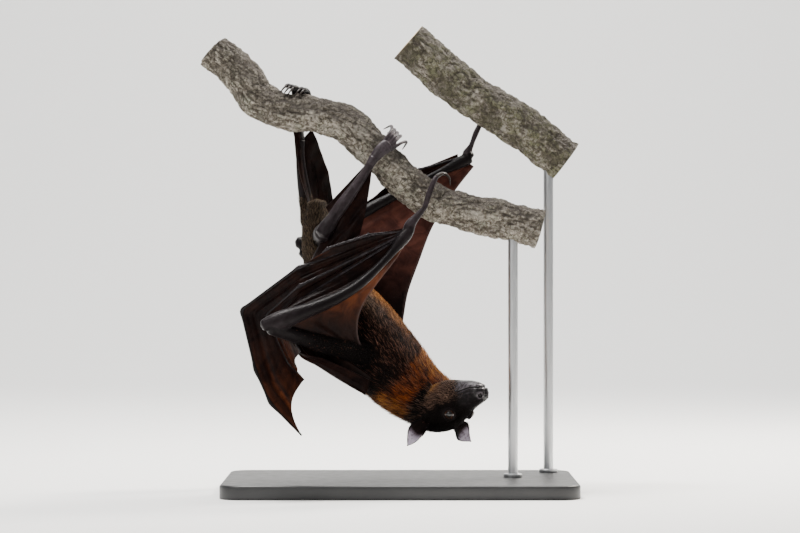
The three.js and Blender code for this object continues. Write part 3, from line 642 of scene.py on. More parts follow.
def relaxed(points, faces, rounds):
    """The points moved towards the middle of their neighbours, to ease small jags."""
    corners = np.array([face for face in faces if len(face) == 4])
    links = np.vstack([corners[:, (k, (k + 1) % 4)] for k in range(4)])
    for _ in range(rounds):
        total, count = np.zeros_like(points), np.zeros(len(points))
        for k in range(2):
            np.add.at(total, links[:, k], points[links[:, 1 - k]])
            np.add.at(count, links[:, k], 1)
        points = points + (total / np.maximum(count, 1)[:, None] - points) * 0.5 * (count > 0)[:, None]
    return points


def sleeve(t):
    """The foot's skin starts inside the shin's and comes out of it at a low angle."""
    return 0.05 - 1.3 * np.clip(1 - (t - ANKLE) / ANKLE_TAPER, 0, 1)


# The feet are finer work, so each is its own skin from above the ankle down.
feet = {
    side: [shape for key, shape in flesh.items() if key.startswith((f"foot_{side}", f"toe_{side}"))]
    for side in LEGS
}
for side, leg in LEGS.items():
    ankle_line = Line(leg["shin"])
    feet[side].append(tube(
        ankle_line, np.linspace(ANKLE, 1, 34),
        lambda t: (along(SHIN_RADIUS, t) + sleeve(t), along(SHIN_RADIUS, t) + sleeve(t), 0),
        32, (0, 1, 0.2), round_ends=0.5,
    ))
coarse = [shape for key, shape in flesh.items() if not key.startswith(("foot", "toe"))]
body_points, body_faces = fused(coarse, BODY_VOXEL, 5)
foot_skins = {side: fused(shapes, FOOT_VOXEL, 5) for side, shapes in feet.items()}


# ---------------------------------------------------------------- head
# A long dog-like head. The muzzle is almost bare, with short tube nostrils that point outwards
# and a groove between them; the lids stand out round large eyes, and the lips are closed.
HEAD_CENTRE = np.array((58, -27.5, 79.3))
HEAD_YAW = math.radians(41.3)
HEAD_PITCH = math.radians(18.7)
FORWARD = np.array((
    math.cos(HEAD_PITCH) * math.cos(HEAD_YAW),
    -math.cos(HEAD_PITCH) * math.sin(HEAD_YAW),
    math.sin(HEAD_PITCH),
))
LEFT = np.array((-math.sin(HEAD_YAW), -math.cos(HEAD_YAW), 0))
UP = np.cross(FORWARD, LEFT)
HEAD_AXES = np.stack([FORWARD, LEFT, UP])
HEAD_WIDTH = [
    (-47, 14), (-38, 22), (-25, 26.5), (-10, 26), (0, 22), (10, 16.5), (20, 13), (30, 11), (36, 9.5),
    (40, 6.5),
]
HEAD_TOP = [
    (-47, 0), (-38, 8), (-25, 13), (-10, 12), (0, 9), (10, 5), (20, 1.5), (30, -1), (36, -2.5), (40, -5.5),
]
HEAD_LOW = [
    (-47, -22), (-38, -30), (-25, -36), (-10, -37), (0, -35.5), (10, -32.5), (20, -29), (30, -24.6),
    (36, -20.5), (40, -15),
]
HEAD_COAT = [(-47, 5), (-20, 3.2), (0, 2), (12, 1.1), (22, 0.4), (40, 0.1)]
HEAD_VOXEL = 0.55
EYE_ASIDE = 14
GAZE = (0.58, 0.8, 0.18)
NOSTRIL = (38.7, 7.4, -7.0)
MOUTH_CORNER = 12.5
LID_RADIUS = 6.45
SOCKET_RADIUS = 4.4


def in_head(points):
    """Places in the head's own frame, forward, left and up from between the eyes."""
    return (np.asarray(points) - HEAD_CENTRE) @ HEAD_AXES.T


def from_head(places):
    return HEAD_CENTRE + np.asarray(places) @ HEAD_AXES


def ramp(value, low, high):
    s = np.clip((value - low) / (high - low), 0, 1)
    return s * s * (3 - 2 * s)


def mound(value, width):
    return np.exp(-(value / width) ** 2)


def mouth_height(forward):
    """The height of the line between the lips, which turns down at its corner."""
    return (
        -17.4 - 1.1 * mound(forward - 25, 8) + 0.2 * np.maximum(forward - 30, 0)
        - 1.3 * mound(forward - MOUTH_CORNER, 3)
    )


def skull_rings():
    forward = np.concatenate([np.linspace(-46, 36, 80), 40 - 4 * np.cos(np.linspace(0, math.pi / 2, 8)[1:])])
    width = along(HEAD_WIDTH, forward) - along(HEAD_COAT, forward)
    top = along(HEAD_TOP, forward) - along(HEAD_COAT, forward)
    low = along(HEAD_LOW, forward) + along(HEAD_COAT, forward)
    blunt = np.sqrt(np.clip(1 - ((forward - 36) / 4.3) ** 2, 0.02, 1)) * (forward > 36) + (forward <= 36)
    angles = np.linspace(0, 2 * math.pi, 72, endpoint=False)
    rings = []
    for f, w, t, b, shrink in zip(forward, width, top, low, blunt):
        middle, deep = (t + b) / 2, (t - b) / 2
        cheek = 0.14 * mound(f + 16, 18)
        side = np.sign(np.cos(angles)) * np.abs(np.cos(angles)) ** (0.92 - cheek)
        rise = np.sign(np.sin(angles)) * np.abs(np.sin(angles)) ** (0.94 - cheek)
        rings.append(np.stack([np.full(72, f), w * side * shrink, middle + deep * rise * shrink], -1))
    return rings


skull_points, skull_faces = stacked([ring.tolist() for ring in skull_rings()])
nostril_tubes = []
for sign in (1, -1):
    base = np.array((33.0, sign * 2.6, -9.2))
    tip = np.array((37.9, sign * 6.6, -7.2))
    nostril_tubes.append(tube(
        Line(from_head([base, (base + tip) / 2, tip])), np.linspace(0, 1, 12),
        lambda t: (3.1 - 0.35 * t, 3.3 - 0.35 * t, 0), 24, UP, round_ends=0.8,
    ))
head_points, head_faces = fused(
    [(from_head(skull_points), skull_faces), *nostril_tubes], HEAD_VOXEL, 9
)
place = in_head(head_points)
outward = point_normals(head_points, head_faces) @ HEAD_AXES.T
f, l, u = place.T
side = np.abs(l)

# The lips: a fold between them, a rolled upper lip over it and a thin lower one under it.
from_mouth = u - mouth_height(f)
on_lips = ramp(f, MOUTH_CORNER - 2.5, MOUTH_CORNER + 2) * (u < -6)
push = (
    -1.5 * mound(from_mouth, 0.75) + 0.75 * mound(from_mouth - 2.0, 1.5) + 0.5 * mound(from_mouth + 1.7, 1.1)
)
place += outward * (push * on_lips)[:, None]
# The fold that runs back from the nostril over the upper lip, and the groove between nostrils.
muzzle_fold = -0.5 * mound(u + 9.5 + 0.12 * (34 - f), 0.9) * ramp(f, 14, 22) * ramp(-f, -34, -29) * (side > 4)
for rise, depth in ((3.9, 0.34), (6.3, 0.26), (8.6, 0.18)):
    wavy = from_mouth - rise - 0.5 * np.sin(f * 0.45 + rise)
    muzzle_fold += -depth * mound(wavy, 0.55) * ramp(f, 12, 17) * ramp(-f, -36, -31) * (side > 4)
groove = -0.9 * mound(l, 1.7) * ramp(f, 33.5, 37) * ramp(-u, 5, 8) * ramp(u, -17, -14)
place += outward * (muzzle_fold + groove)[:, None]
for sign in (1, -1):
    # The nostril: a rounded rim round a deep hole that opens forwards and outwards.
    opening = np.array((NOSTRIL[0], sign * NOSTRIL[1], NOSTRIL[2]))
    aim = unit(np.array((0.7, sign * 0.68, 0.2)))
    offset = place - opening
    depth = offset @ aim
    radius = np.linalg.norm(offset - depth[:, None] * aim, axis=1)
    near = mound(np.linalg.norm(offset, axis=1), 5)
    place += aim * (0.3 * mound(radius - 2.7, 1.0) * (near > 0.4))[:, None]
    place -= aim * (4.2 * ramp(-radius, -2.8, -1.6) * (near > 0.35))[:, None]
    # The eye: lids lie on the ball round an almond opening, and behind them the skin sinks in.
    centre = np.array((0, sign * EYE_ASIDE, 0))
    gaze = unit(np.array((GAZE[0], sign * GAZE[1], GAZE[2])))
    level = unit(np.cross(np.array((0, 0, 1.0)), gaze) * sign)
    above = unit(np.cross(gaze, level))
    offset = place - centre
    reach = np.linalg.norm(offset, axis=1)
    ray = offset / np.maximum(reach, 1e-6)[:, None]
    ahead = ray @ gaze
    slot = np.hypot((ray @ level) / 0.71, (ray @ above) / 0.56)
    is_front = ahead > 0
    lid = LID_RADIUS + 0.6 * mound(slot - 1.1, 0.17)
    ball = np.where(is_front & (slot < 1), SOCKET_RADIUS, lid)
    ball = np.where(is_front, SOCKET_RADIUS + (ball - SOCKET_RADIUS) * ramp(slot, 0.94, 1.0), ball)
    hold = ramp(-reach, -10.5, -7.2) * ramp(ahead, -0.35, 0.1)
    place = np.where(
        (hold > 0)[:, None],
        place * (1 - hold[:, None]) + (centre + ray * ball[:, None]) * hold[:, None], place
    )
    # A furrow above and behind the lids, and a low brow.
    brow = 0.9 * mound(np.linalg.norm(place - (centre + (-3, sign * 1.5, 6.5)), axis=1), 3.4)
    furrow = -0.7 * mound(np.linalg.norm(place - centre, axis=1) - 8.8, 0.9) * (1 - hold)
    place += outward * (brow + furrow)[:, None]
head_points = relaxed(from_head(place), head_faces, 4)


# ---------------------------------------------------------------- ears
# Short pointed ears like cupped leaves, of thin bare skin: pale lilac-grey inside with a black
# rim, and dark at the root, which sinks into the fur of the crown.
EARS = {
    "left": {"root": (-29, 24, 4), "reach": (-11, 17, 15.5), "facing": (0.5, 0.72, -0.45)},
    "right": {"root": (-20, -17.5, 7), "reach": (-6, -22.5, 16), "facing": (0.85, 0.45, 0.3)},
}
EAR_HALF_WIDTH = 9.7
EAR_OUTLINE = [
    (-0.25, 0.5), (0, 0.76), (0.15, 0.92), (0.3, 0.95), (0.5, 0.82),
    (0.68, 0.6), (0.82, 0.37), (0.93, 0.17), (1, 0.03),
]
EAR_CUP = 6.6
EAR_THICKNESS = 1.3


def thin_sheet(grid, thickness):
    """Points and faces of a closed sheet round a grid of middle points, thinned to its edges."""
    rows, columns = grid.shape[:2]
    lengthways, crossways = np.gradient(grid, axis=(0, 1))
    normal = unit(np.cross(lengthways, crossways))
    half = np.broadcast_to(np.asarray(thickness, float), (rows, columns))[..., None] / 2
    points = np.concatenate([(grid + normal * half).reshape(-1, 3), (grid - normal * half).reshape(-1, 3)])
    index = np.arange(rows * columns).reshape(rows, columns)
    a, b, c, d = index[:-1, :-1], index[1:, :-1], index[1:, 1:], index[:-1, 1:]
    front = np.stack([a, b, c, d], -1).reshape(-1, 4)
    faces = front.tolist() + (front[:, ::-1] + rows * columns).tolist()
    border = np.concatenate([index[:, 0], index[-1, 1:], index[-2::-1, -1], index[0, -2:0:-1]])
    for first, second in zip(border, np.roll(border, -1)):
        faces.append((second, first, first + rows * columns, second + rows * columns))
    return points, faces


ear_shapes = {}
for side_name, shape in EARS.items():
    base = from_head(shape["root"])
    tip = from_head(np.add(shape["root"], shape["reach"]))
    axis = tip - base
    ear_length = np.linalg.norm(axis)
    axis /= ear_length
    facing = np.asarray(shape["facing"]) @ HEAD_AXES
    facing = unit(facing - axis * (facing @ axis))
    across = np.cross(axis, facing)
    u = np.linspace(-0.22, 1, 44)[:, None]
    v = np.linspace(-1, 1, 34)[None, :]
    width = EAR_HALF_WIDTH * along(EAR_OUTLINE, u)
    lean = 0.1 * np.sin(math.pi * np.clip(u, 0, 1)) * EAR_HALF_WIDTH
    cup = EAR_CUP * np.minimum(1, along(EAR_OUTLINE, u) * 1.15) ** 2
    curl = cup * np.abs(v) ** 2.2 * (1 - 0.6 * u) - 2.2 * np.sin(math.pi * np.clip(u, 0, 1))
    ripple = 0.35 * np.sin(v * 9 + u * 3) * (1 - np.abs(v)) * np.clip(u, 0, 1)
    grid = (
        base + axis * (ear_length * u + 0 * v)[..., None]
        + across * (width * v + lean)[..., None] + facing * (curl + ripple)[..., None]
    )
    thickness = EAR_THICKNESS * (1 - 0.55 * np.abs(v) ** 3) * (1 - 0.4 * np.clip(u, 0, 1))
    rim = np.maximum(ramp(np.abs(v) + 0 * u, 0.8, 0.96), ramp(u + 0 * v, 0.93, 1.0))
    root = 1 - ramp(u + 0.12 * np.abs(v), 0.3, 0.72)
    tone = np.stack([rim, root], -1).reshape(-1, 2)
    tones = np.concatenate([np.column_stack([np.maximum(tone[:, 0], 0.85), tone[:, 1]]), tone])
    ear_shapes[side_name] = (*thin_sheet(grid, thickness), tones)


# ---------------------------------------------------------------- eyes
# Large round eyes: a dark brown iris round a wide black pupil, under a clear wet cornea that
# bulges a little from the ball.
EYE_RADIUS = 6
PUPIL = 0.5
IRIS = 0.86
EYE_SIDES = 48

eye_finish, wire = finish_named(
    "wet_eye", Roughness=0.2, Specular_IOR_Level=0.25, Coat_Weight=0.6, Coat_Roughness=0.05,
)
gaze_angle = wire.attribute("from_gaze")
streaks = wire.noise(0.0009, 4, 0.7, at=wire.place((1, 1, 0.5)))
iris = streaks.within(0.3, 0.75).mixed((0.008, 0.003, 0.0015), (0.04, 0.014, 0.005))
eyeball = gaze_angle.within(IRIS - 0.05, IRIS + 0.06).mixed(iris, (0.02, 0.014, 0.012))
wire.feed("Base Color", gaze_angle.within(PUPIL - 0.03, PUPIL + 0.03).mixed((0.002, 0.002, 0.002), eyeball))
wire.bump(wire.noise(0.003, 2), 0.00002)

for side_name, sign in (("left", 1), ("right", -1)):
    centre = np.array((0, sign * EYE_ASIDE, 0))
    gaze = unit(np.array((GAZE[0], sign * GAZE[1], GAZE[2])))
    level = unit(np.cross(np.array((0, 0, 1.0)), gaze))
    above = np.cross(gaze, level)
    turn_away = np.linspace(0.03, math.pi - 0.03, 40)
    angles = np.linspace(0, 2 * math.pi, EYE_SIDES, endpoint=False)
    rings = []
    for away in turn_away:
        radius = EYE_RADIUS - 0.05 + 0.75 * mound(away, 0.62)
        ring = gaze * math.cos(away) + math.sin(away) * (
            level * np.cos(angles)[:, None] + above * np.sin(angles)[:, None]
        )
        rings.append(from_head(centre + ring * radius))
    eye_points, eye_faces = stacked([ring.tolist() for ring in rings[::-1]])
    eye = make_piece(f"eyeball_{side_name}", eye_points, eye_faces, eye_finish)
    away = np.repeat(turn_away[::-1], EYE_SIDES)
    eye.data.attributes.new("from_gaze", "FLOAT", "POINT").data.foreach_set("value", away)
    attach(eye, "root")
    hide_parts(f"eye_{side_name}")


# ---------------------------------------------------------------- wings
# Each wing is two layers of soft, nearly black skin stretched over the long finger bones and
# folded up. The bones stand out as dark grey ridges, and the skin between hangs in pleats.
WINGS = {
    "left": {
        "fingers": {
            2: [(5, -39, 263), (-31, -52, 256), (-71, -66, 243), (-78, -66, 236)],
            3: [
                (3, -40, 261), (-99, -72, 224), (-157, -36, 182), (-143, -37, 123), (-128, -41, 90),
                (-97, -47, 59),
            ],
            4: [(1, -40, 257), (-98, -77, 206), (-132, -42, 177), (-110, -38, 130), (-95, -38, 113)],
            5: [(-1, -38, 253), (-97, -76, 193), (-113, -72, 168), (-97, -84, 143)],
        },
        "front_edge": [
            (-32, -40, 134), (-41, -46, 155), (-41, -50, 174), (-35, -50, 190), (-22, -47, 209),
            (0, -41, 238), (9, -37, 256),
        ],
        "front_root": [
            (-22, -34, 134), (-78, -70, 152), (-117, -99, 168), (-68, -80, 191), (-15, -50, 231),
            (6, -37, 257),
        ],
        "leg": (
            [(-27, -27, 329), (-44, -34, 304), (-61, -40, 280), (-78, -36, 250), (-91, -27, 225)],
            [(-48, -54, 229), (-76, -64, 208), (-98, -70, 190)],
            (3, 0, -2),
        ),
        "side": (
            [(-91, -27, 219), (-81, -34, 182), (-62, -38, 143), (-28, -30, 116)],
            [
                (-95, -70, 186), (-107, -73, 164), (-99, -78, 143),
                (-76, -61, 135), (-46, -45, 121), (-31, -33, 113),
            ],
            (-5, 3, -17),
        ),
        "scallops": {3: (-11, 0, 2), 4: (-7, 0, 0)},
    },
    "right": {
        "fingers": {
            2: [(62, 92, 342), (20, 92, 325), (-8, 90, 311), (-22, 88, 300)],
            3: [(62, 94, 339), (-50, 92, 281), (-90, 146, 246), (-78, 140, 190), (-57, 112, 123)],
            4: [(61, 90, 336), (-46, 84, 272), (-73, 126, 230), (-50, 122, 190), (-33, 112, 154)],
            5: [(60, 87, 333), (-47, 75, 264), (-66, 96, 226), (-45, 88, 190)],
        },
        "front_edge": [
            (0, 36, 146), (4, 40, 176), (8, 46, 198), (19, 58, 229), (34, 74, 267), (58, 86, 305),
            (76, 91, 328),
        ],
        "front_root": [
            (-12, 34, 142), (-58, 52, 196), (-96, 52, 246), (-20, 76, 290), (30, 87, 318),
            (68, 92, 334),
        ],
        "leg": (
            [(-89, 30, 364), (-99, 27, 350), (-97, 30, 322), (-93, 33, 292), (-84, 37, 262)],
            [(-65, 70, 266), (-64, 78, 246), (-70, 84, 232)],
            (4, 4, 4),
        ),
        "side": (
            [(-80, 36, 240), (-68, 38, 186), (-48, 41, 152), (-26, 42, 140)],
            [(-92, 60, 238), (-74, 60, 212), (-50, 58, 180), (-24, 48, 148)],
            (-6, 12, -4),
        ),
        "scallops": {3: (-8, 6, 10), 4: (-6, 4, 8)},
    },
}
LEG_SKINS = {
    "left": (
        [(-66, -38, 270), (-50, -36, 297), (-30, -27, 327)],
        [(-74, -14, 284), (-62, -24, 296), (-35, -24, 325)],
    ),
    "right": (
        [(-90, 28, 286), (-97, 22, 320), (-101, 21, 362)],
        [(-93, 9, 290), (-102, 11, 320), (-107, 18, 364)],
    ),
}
SKIN_THICKNESS = 0.8
BONE_ROOT = 1.9
BONE_TIP = 0.9
JOINT_EASE = 4.0
SHADE_FROM_WRIST = (85, 190)


def bone_line(points):
    """The finger's joints as places along it, and a line through its bones with eased corners."""
    p = np.asarray(points, float)
    lengths = np.linalg.norm(np.diff(p, axis=0), axis=1)
    joints = np.concatenate([[0], np.cumsum(lengths)]) / lengths.sum()
    eased = [p[0]]
    for before, corner, after in zip(p, p[1:], p[2:]):
        eased += [
            corner + unit(before - corner) * JOINT_EASE,
            corner + (unit(before - corner) + unit(after - corner)) * 0.9,
            corner + unit(after - corner) * JOINT_EASE,
        ]
    eased.append(p[-1])
    return Line(eased, smooth=False), joints


def finger_shape(points):
    line, joints = bone_line(points)

    def sizes(t):
        slim = BONE_ROOT + (BONE_TIP - BONE_ROOT) * t
        knob = sum(mound(t - joint, 0.012 + 0.004 * k) for k, joint in enumerate(joints[1:-1]))
        waist = 0.14 * np.sin(math.pi * np.clip(t / joints[1], 0, 1))
        radius = slim * (1 - waist) + 0.95 * knob
        return radius, radius * 0.92, 0
    return tube(line, np.linspace(0, 1, 150), sizes, 14, (0.1, 1, 0.3), round_ends=0.6)


def finger_edge(points, bones=3):
    line, joints = bone_line(points)

    def edge(reach):
        place = np.interp(reach * bones, [0, 1, 2, 3], [0, joints[1], joints[2], 1])
        return line.at(place)
    return edge


def plain_edge(points):
    line = Line(points)
    return lambda reach: line.at(reach)


def pleated(
    edge_a, edge_b, start, sag, pleats, depth, rows=80, columns=40, thickness=SKIN_THICKNESS, seed=0.0,
):
    """A skin between two edges. sag(reach, v) moves it, and pleats run along it."""
    reach = np.linspace(start, 1, rows)
    a, b = edge_a(reach)[:, None], edge_b(reach)[:, None]
    v = np.linspace(0, 1, columns)[None, :, None]
    flat = a + (b - a) * v + sag(reach[:, None, None], v)
    lengthways, crossways = np.gradient(flat, axis=(0, 1))
    normal = unit(np.cross(lengthways, crossways))
    width = np.linalg.norm(b - a, axis=-1)[:, 0]
    r, w = reach[:, None], v[..., 0]
    wander = 0.25 * np.sin(r * 5 + seed) + 0.1 * np.sin(r * 13 + seed * 2)
    wave = np.sin(2 * math.pi * pleats * (w + wander * w * (1 - w))) * 0.7
    wave = wave + 0.3 * np.sin(2 * math.pi * (pleats * 2.3) * w + 4 * r + seed)
    free = np.sin(math.pi * w) ** 0.6
    fold = depth * wave * free * np.minimum(width / 14, 1)[:, None]
    grid = flat + normal * fold[..., None]
    return thin_sheet(grid, thickness), np.repeat(fold.ravel()[None], 2, axis=0).ravel()


def hump(x):
    return np.sin(math.pi * np.clip(x, 0, 1))


def nothing(reach, v):
    return 0 * v * reach


wing_parts = {}
for side_name, wing in WINGS.items():
    fingers = wing["fingers"]
    wrist = np.array(ARMS[side_name]["forearm"][-1], float)
    parts = []
    for points in fingers.values():
        knuckle = wrist + (np.array(points[0]) - wrist) * 0.35
        parts.append((finger_shape([knuckle, *points[1:]]), "bone"))
    for first, bones, start, pleats in ((2, 1, 0.02, 0.8), (3, 3, 0.02, 1.6), (4, 3, 0.02, 1.7)):
        scallop = np.array(wing["scallops"].get(first, (0, 0, 0)), float)
        skin, fold = pleated(
            finger_edge(fingers[first]), finger_edge(fingers[first + 1], bones), start,
            lambda reach, v: scallop * hump(v) * reach**9, pleats, 1.5 if first > 2 else 0.6,
            rows=124, columns=32, seed=first,
        )
        parts.append((skin, "between", fold))
    skin, fold = pleated(
        plain_edge(wing["front_root"]), plain_edge(wing["front_edge"]), 0.04, nothing, 2.2, 0.9,
        rows=110, columns=38, seed=5
    )
    parts.append((skin, "front", fold))
    for key, pleats, depth in (("leg", 2.6, 1.6), ("side", 3.0, 1.8)):
        body_edge, arm_edge, billow = wing[key]
        skin, fold = pleated(
            plain_edge(body_edge), plain_edge(arm_edge), 0.0,
            lambda reach, v: np.array(billow, float) * hump(v), pleats, depth, seed=len(key),
        )
        parts.append((skin, key, fold))
    if side_name == "left":
        skin, fold = pleated(
            finger_edge(fingers[5], 1), plain_edge(ARMS["left"]["forearm"][::-1]), 0.06, nothing,
            1.4, 1.2, seed=9
        )
        parts.append((skin, "forearm", fold))
    leg_edge, rump_edge = LEG_SKINS[side_name]
    skin, fold = pleated(
        plain_edge(leg_edge), plain_edge(rump_edge), 0.0, nothing, 1.0, 0.8, rows=60, columns=20,
    )
    parts.append((skin, "tail", fold))
    wing_parts[side_name] = parts


def tone(piece, key, values):
    """Keeps a value, or a colour, for each point of the piece for its material to read."""
    values = np.asarray(values, float)
    if values.ndim == 1:
        piece.data.attributes.new(key, "FLOAT", "POINT").data.foreach_set("value", values)
    else:
        colours = np.column_stack([values, np.ones(len(values))])
        piece.data.attributes.new(key, "FLOAT_COLOR", "POINT").data.foreach_set("color", colours.ravel())


wing_finish, wire = finish_named("wing_skin", Specular_IOR_Level=0.035)
veins = wire.node(
    "ShaderNodeTexVoronoi", {"feature": "DISTANCE_TO_EDGE"},
    {"Vector": wire.place((1, 1, 0.4)), "Scale": 70.0, "Randomness": 1.0},
)
vein_lines = 1 - veins.within(0.0, 0.02)
wrinkles = wire.noise(0.0016, 5, 0.62, 0.8, wire.place((1, 1, 0.45)))
blotches = wire.noise(0.017, 4, 0.6, 0.7)
warmth = wire.attribute("warmth")
mauve = wire.attribute("mauve")
dark = blotches.within(0.35, 0.7).mixed((0.0022, 0.0016, 0.0018), (0.0065, 0.0037, 0.0036))
orange = blotches.within(0.3, 0.7).mixed((0.035, 0.0085, 0.0025), (0.12, 0.031, 0.007))
plum = blotches.within(0.3, 0.7).mixed((0.028, 0.0105, 0.0095), (0.06, 0.023, 0.02))
lit_skin = mauve.mixed(orange, plum)
# Where the glow mask is high the near-black skin is lightened to orange or plum: painted light.
wing_colour = (warmth * (blotches * 0.5 + 0.75)).mixed(dark, lit_skin)
wing_colour = (wrinkles.within(0.55, 0.75) * 0.25).mixed(wing_colour, (0.03, 0.022, 0.023))
wing_colour = (vein_lines * 0.12).mixed(wing_colour, (0.006, 0.003, 0.003))
# Paler along the front skin's free edge: painted highlight.
wing_colour = wire.attribute("rim").mixed(wing_colour, (0.1, 0.07, 0.065))
wire.feed("Base Color", wing_colour)
wire.feed("Roughness", wrinkles * 0.2 + 0.18 + warmth * 0.25)
wire.bump(wrinkles * 0.7 + blotches * 0.3, 0.0005)

bone_finish, wire = finish_named("skin_over_bone", Specular_IOR_Level=0.12)
scuffs = wire.noise(0.005, 6, 0.65, 0.5)
creases = wire.noise(0.0011, 4, 0.6, 0.5, wire.place((1, 1, 1.6)))
bone_colour = scuffs.within(0.32, 0.68).mixed((0.006, 0.0046, 0.005), (0.03, 0.025, 0.028))
# Darker in the creases: painted shade.
bone_colour = (creases.within(0.5, 0.72) * 0.5).mixed(bone_colour, (0.009, 0.007, 0.0075))
# Darker far from the wrist, down the fingers folded into the wing: painted shade.
bone_colour = wire.attribute("dusk").mixed(bone_colour, (0.006, 0.0045, 0.0048))
wire.feed("Base Color", bone_colour)
wire.feed("Roughness", scuffs * 0.18 + 0.15)
wire.bump(creases + scuffs * 0.4, 0.0003)

# How much each skin is lightened by painted light, and how mauve that light is: the front skins
# # are painted with light coming through them, low in the pleats between the fingers there is a
# # faint painted glow, and the rest is the skin's own near-black.
PAINTED_GLOW_LEVEL = {"left": {"front": 0.95, "between": 0.05, "forearm": 0.05}, "right": {"front": 0.85, "between": 0.2}}
for side_name, parts in wing_parts.items():
    bones = [part[0] for part in parts if part[1] == "bone"]
    points, faces = joined(bones)
    piece = make_piece(f"wing_bones_{side_name}", points, faces, bone_finish)
    wrist_place = np.asarray(WINGS[side_name]["fingers"][3][0])
    from_wrist = np.linalg.norm(points - wrist_place, axis=1)
    # The finger bones darken with distance from the wrist: painted shade.
    tone(piece, "dusk", 0.9 * ramp(from_wrist, *SHADE_FROM_WRIST))
    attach(piece, "root")
    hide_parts(*(f"finger_{k}_{side_name}" for k in WINGS[side_name]["fingers"]))

    skins = [part for part in parts if part[1] != "bone"]
    points, faces = joined([part[0] for part in skins])
    piece = make_piece(f"wing_membrane_{side_name}", points, faces, wing_finish)
    glow_levels, mauve_part, rim = [], [], []
    for (sheet, _), kind, fold in skins:
        count = len(sheet)
        height = (sheet[:, 2] - sheet[:, 2].min()) / np.ptp(sheet[:, 2])
        level = PAINTED_GLOW_LEVEL[side_name].get(kind, 0.05)
        if kind == "front":
            edge_line = Line(WINGS[side_name]["front_edge"])
            edge_points = edge_line.at(np.linspace(0, 1, 80))
            edge_gap = np.linalg.norm(sheet[:, None] - edge_points[None], axis=-1).min(axis=1)
            # A pale line along the free edge: painted highlight.
            rim.append(0.55 * ramp(-edge_gap, -2.8, -0.3))
            # The painted glow on the front skins fades towards the bottom.
            level = level * (0.05 + 0.95 * ramp(height, 0.2, 0.6))
        else:
            rim.append(np.zeros(count))
        if kind == "between":
            # Low down in the pleats between the fingers, a faint painted glow of light through the skin.
            level = level + 0.8 * ramp(-height, -0.5, -0.05) * (np.abs(fold) / (np.abs(fold).max() + 1e-6))
        glow_levels.append(np.broadcast_to(level, count))
        mauve_part.append(np.full(count, 0.8 if side_name == "right" and kind == "front" else 0.15))
    for key, values in (("warmth", glow_levels), ("mauve", mauve_part), ("rim", rim)):
        tone(piece, key, np.concatenate(values))
    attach(piece, "root")
    hidden = [
        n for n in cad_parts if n.startswith(f"wing_skin_{side_name}") or n == f"leg_skin_{side_name}"
    ]
    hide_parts(*hidden)


# ---------------------------------------------------------------- markings
# The coat is dark brown with pale tips on the chest and grizzled grey-brown on the rump; a golden
# # rim along the belly's edge is painted rim light, and the near shoulder under the wing is painted
# # shade. A rust-orange mantle goes round the neck; the head is black.
BELLY_AXIS = unit(np.array(BELLY_SIDE, float))
SIDE_AXIS = np.array((0, -1.0, 0))
BLACK = (0.0035, 0.0026, 0.0026)
BROWN = (0.0085, 0.0036, 0.0026)
BROWN_TIP = (0.24, 0.115, 0.08)
RUMP = (0.017, 0.0115, 0.008)
RUMP_TIP = (0.23, 0.165, 0.11)
RUST = (0.05, 0.011, 0.0035)
RUST_TIP = (0.38, 0.09, 0.015)
GOLD = (0.075, 0.025, 0.0075)
GOLD_TIP = (0.66, 0.28, 0.08)
CHEEK = (0.013, 0.007, 0.0048)
CHEEK_TIP = (0.3, 0.18, 0.13)
CROWN_TIP = (0.012, 0.009, 0.0085)
FROST = (0.035, 0.018, 0.011)
FROST_TIP = (0.55, 0.36, 0.23)
MANTLE_EDGE = (0.15, 0.042, 0.009)
THROAT = (0.16, 0.048, 0.011)
FLAME_TIP = (0.8, 0.36, 0.08)


def nearest(line, points, samples=240):
    """Where along the line each point lies, and its offset from there."""
    stations = np.linspace(0, 1, samples)
    places = line.at(stations)
    chosen = np.empty(len(points), int)
    for start in range(0, len(points), 20000):
        part = points[start:start + 20000]
        gap = (places**2).sum(axis=1)[None] - 2 * part @ places.T
        chosen[start:start + 20000] = gap.argmin(axis=1)
    return stations[chosen], points - places[chosen]


def cloud(points, grain, seed=0.0):
    """Smooth noise from about -1 to 1, with spots about grain millimetres across."""
    total = np.zeros(len(points))
    rng = np.random.default_rng(int(seed * 10) + 5)
    for k in range(7):
        way = unit(rng.normal(size=3)) * 2 * math.pi / grain * (0.6 + 0.25 * k)
        start = rng.uniform(0, 2 * math.pi)
        total += np.sin(points @ way + start + 1.5 * np.sin(points @ rng.permutation(way) * 0.7))
    return total / 3.2


def blend(a, b, part):
    part = np.asarray(part)[:, None]
    return np.asarray(a, float) * (1 - part) + np.asarray(b, float) * part


limb_lines = {}
for side_name in ("left", "right"):
    arm, leg = ARMS[side_name], LEGS[side_name]
    for key, points, stops in (
        ("upper_arm", arm["upper_arm"], UPPER_ARM_RADIUS), ("forearm", arm["forearm"], FOREARM_RADIUS),
        ("thumb", arm["thumb"], THUMB_RADIUS), ("thigh", leg["thigh"], THIGH_RADIUS),
        ("shin", leg["shin"], SHIN_RADIUS),
    ):
        limb_lines[f"{key}_{side_name}"] = (Line(points), stops)


def body_part(points):
    """For each point of the body: the part it is on, and how far along that part it is."""
    t, offset = nearest(midline, points)
    trunk_radius = (along(BODY_DEPTH, t) + along(BODY_WIDTH, t)) / 2 - along(COAT_DEPTH, t)
    best = np.linalg.norm(offset, axis=1) - trunk_radius
    part = np.full(len(points), "trunk", dtype="<U16")
    place_on = t.copy()
    for key, (line, stops) in limb_lines.items():
        limb_t, limb_offset = nearest(line, points, 80)
        gap = np.linalg.norm(limb_offset, axis=1) - along(stops, limb_t)
        closer = gap < best
        part[closer], place_on[closer], best[closer] = key, limb_t[closer], gap[closer]
    return part, place_on


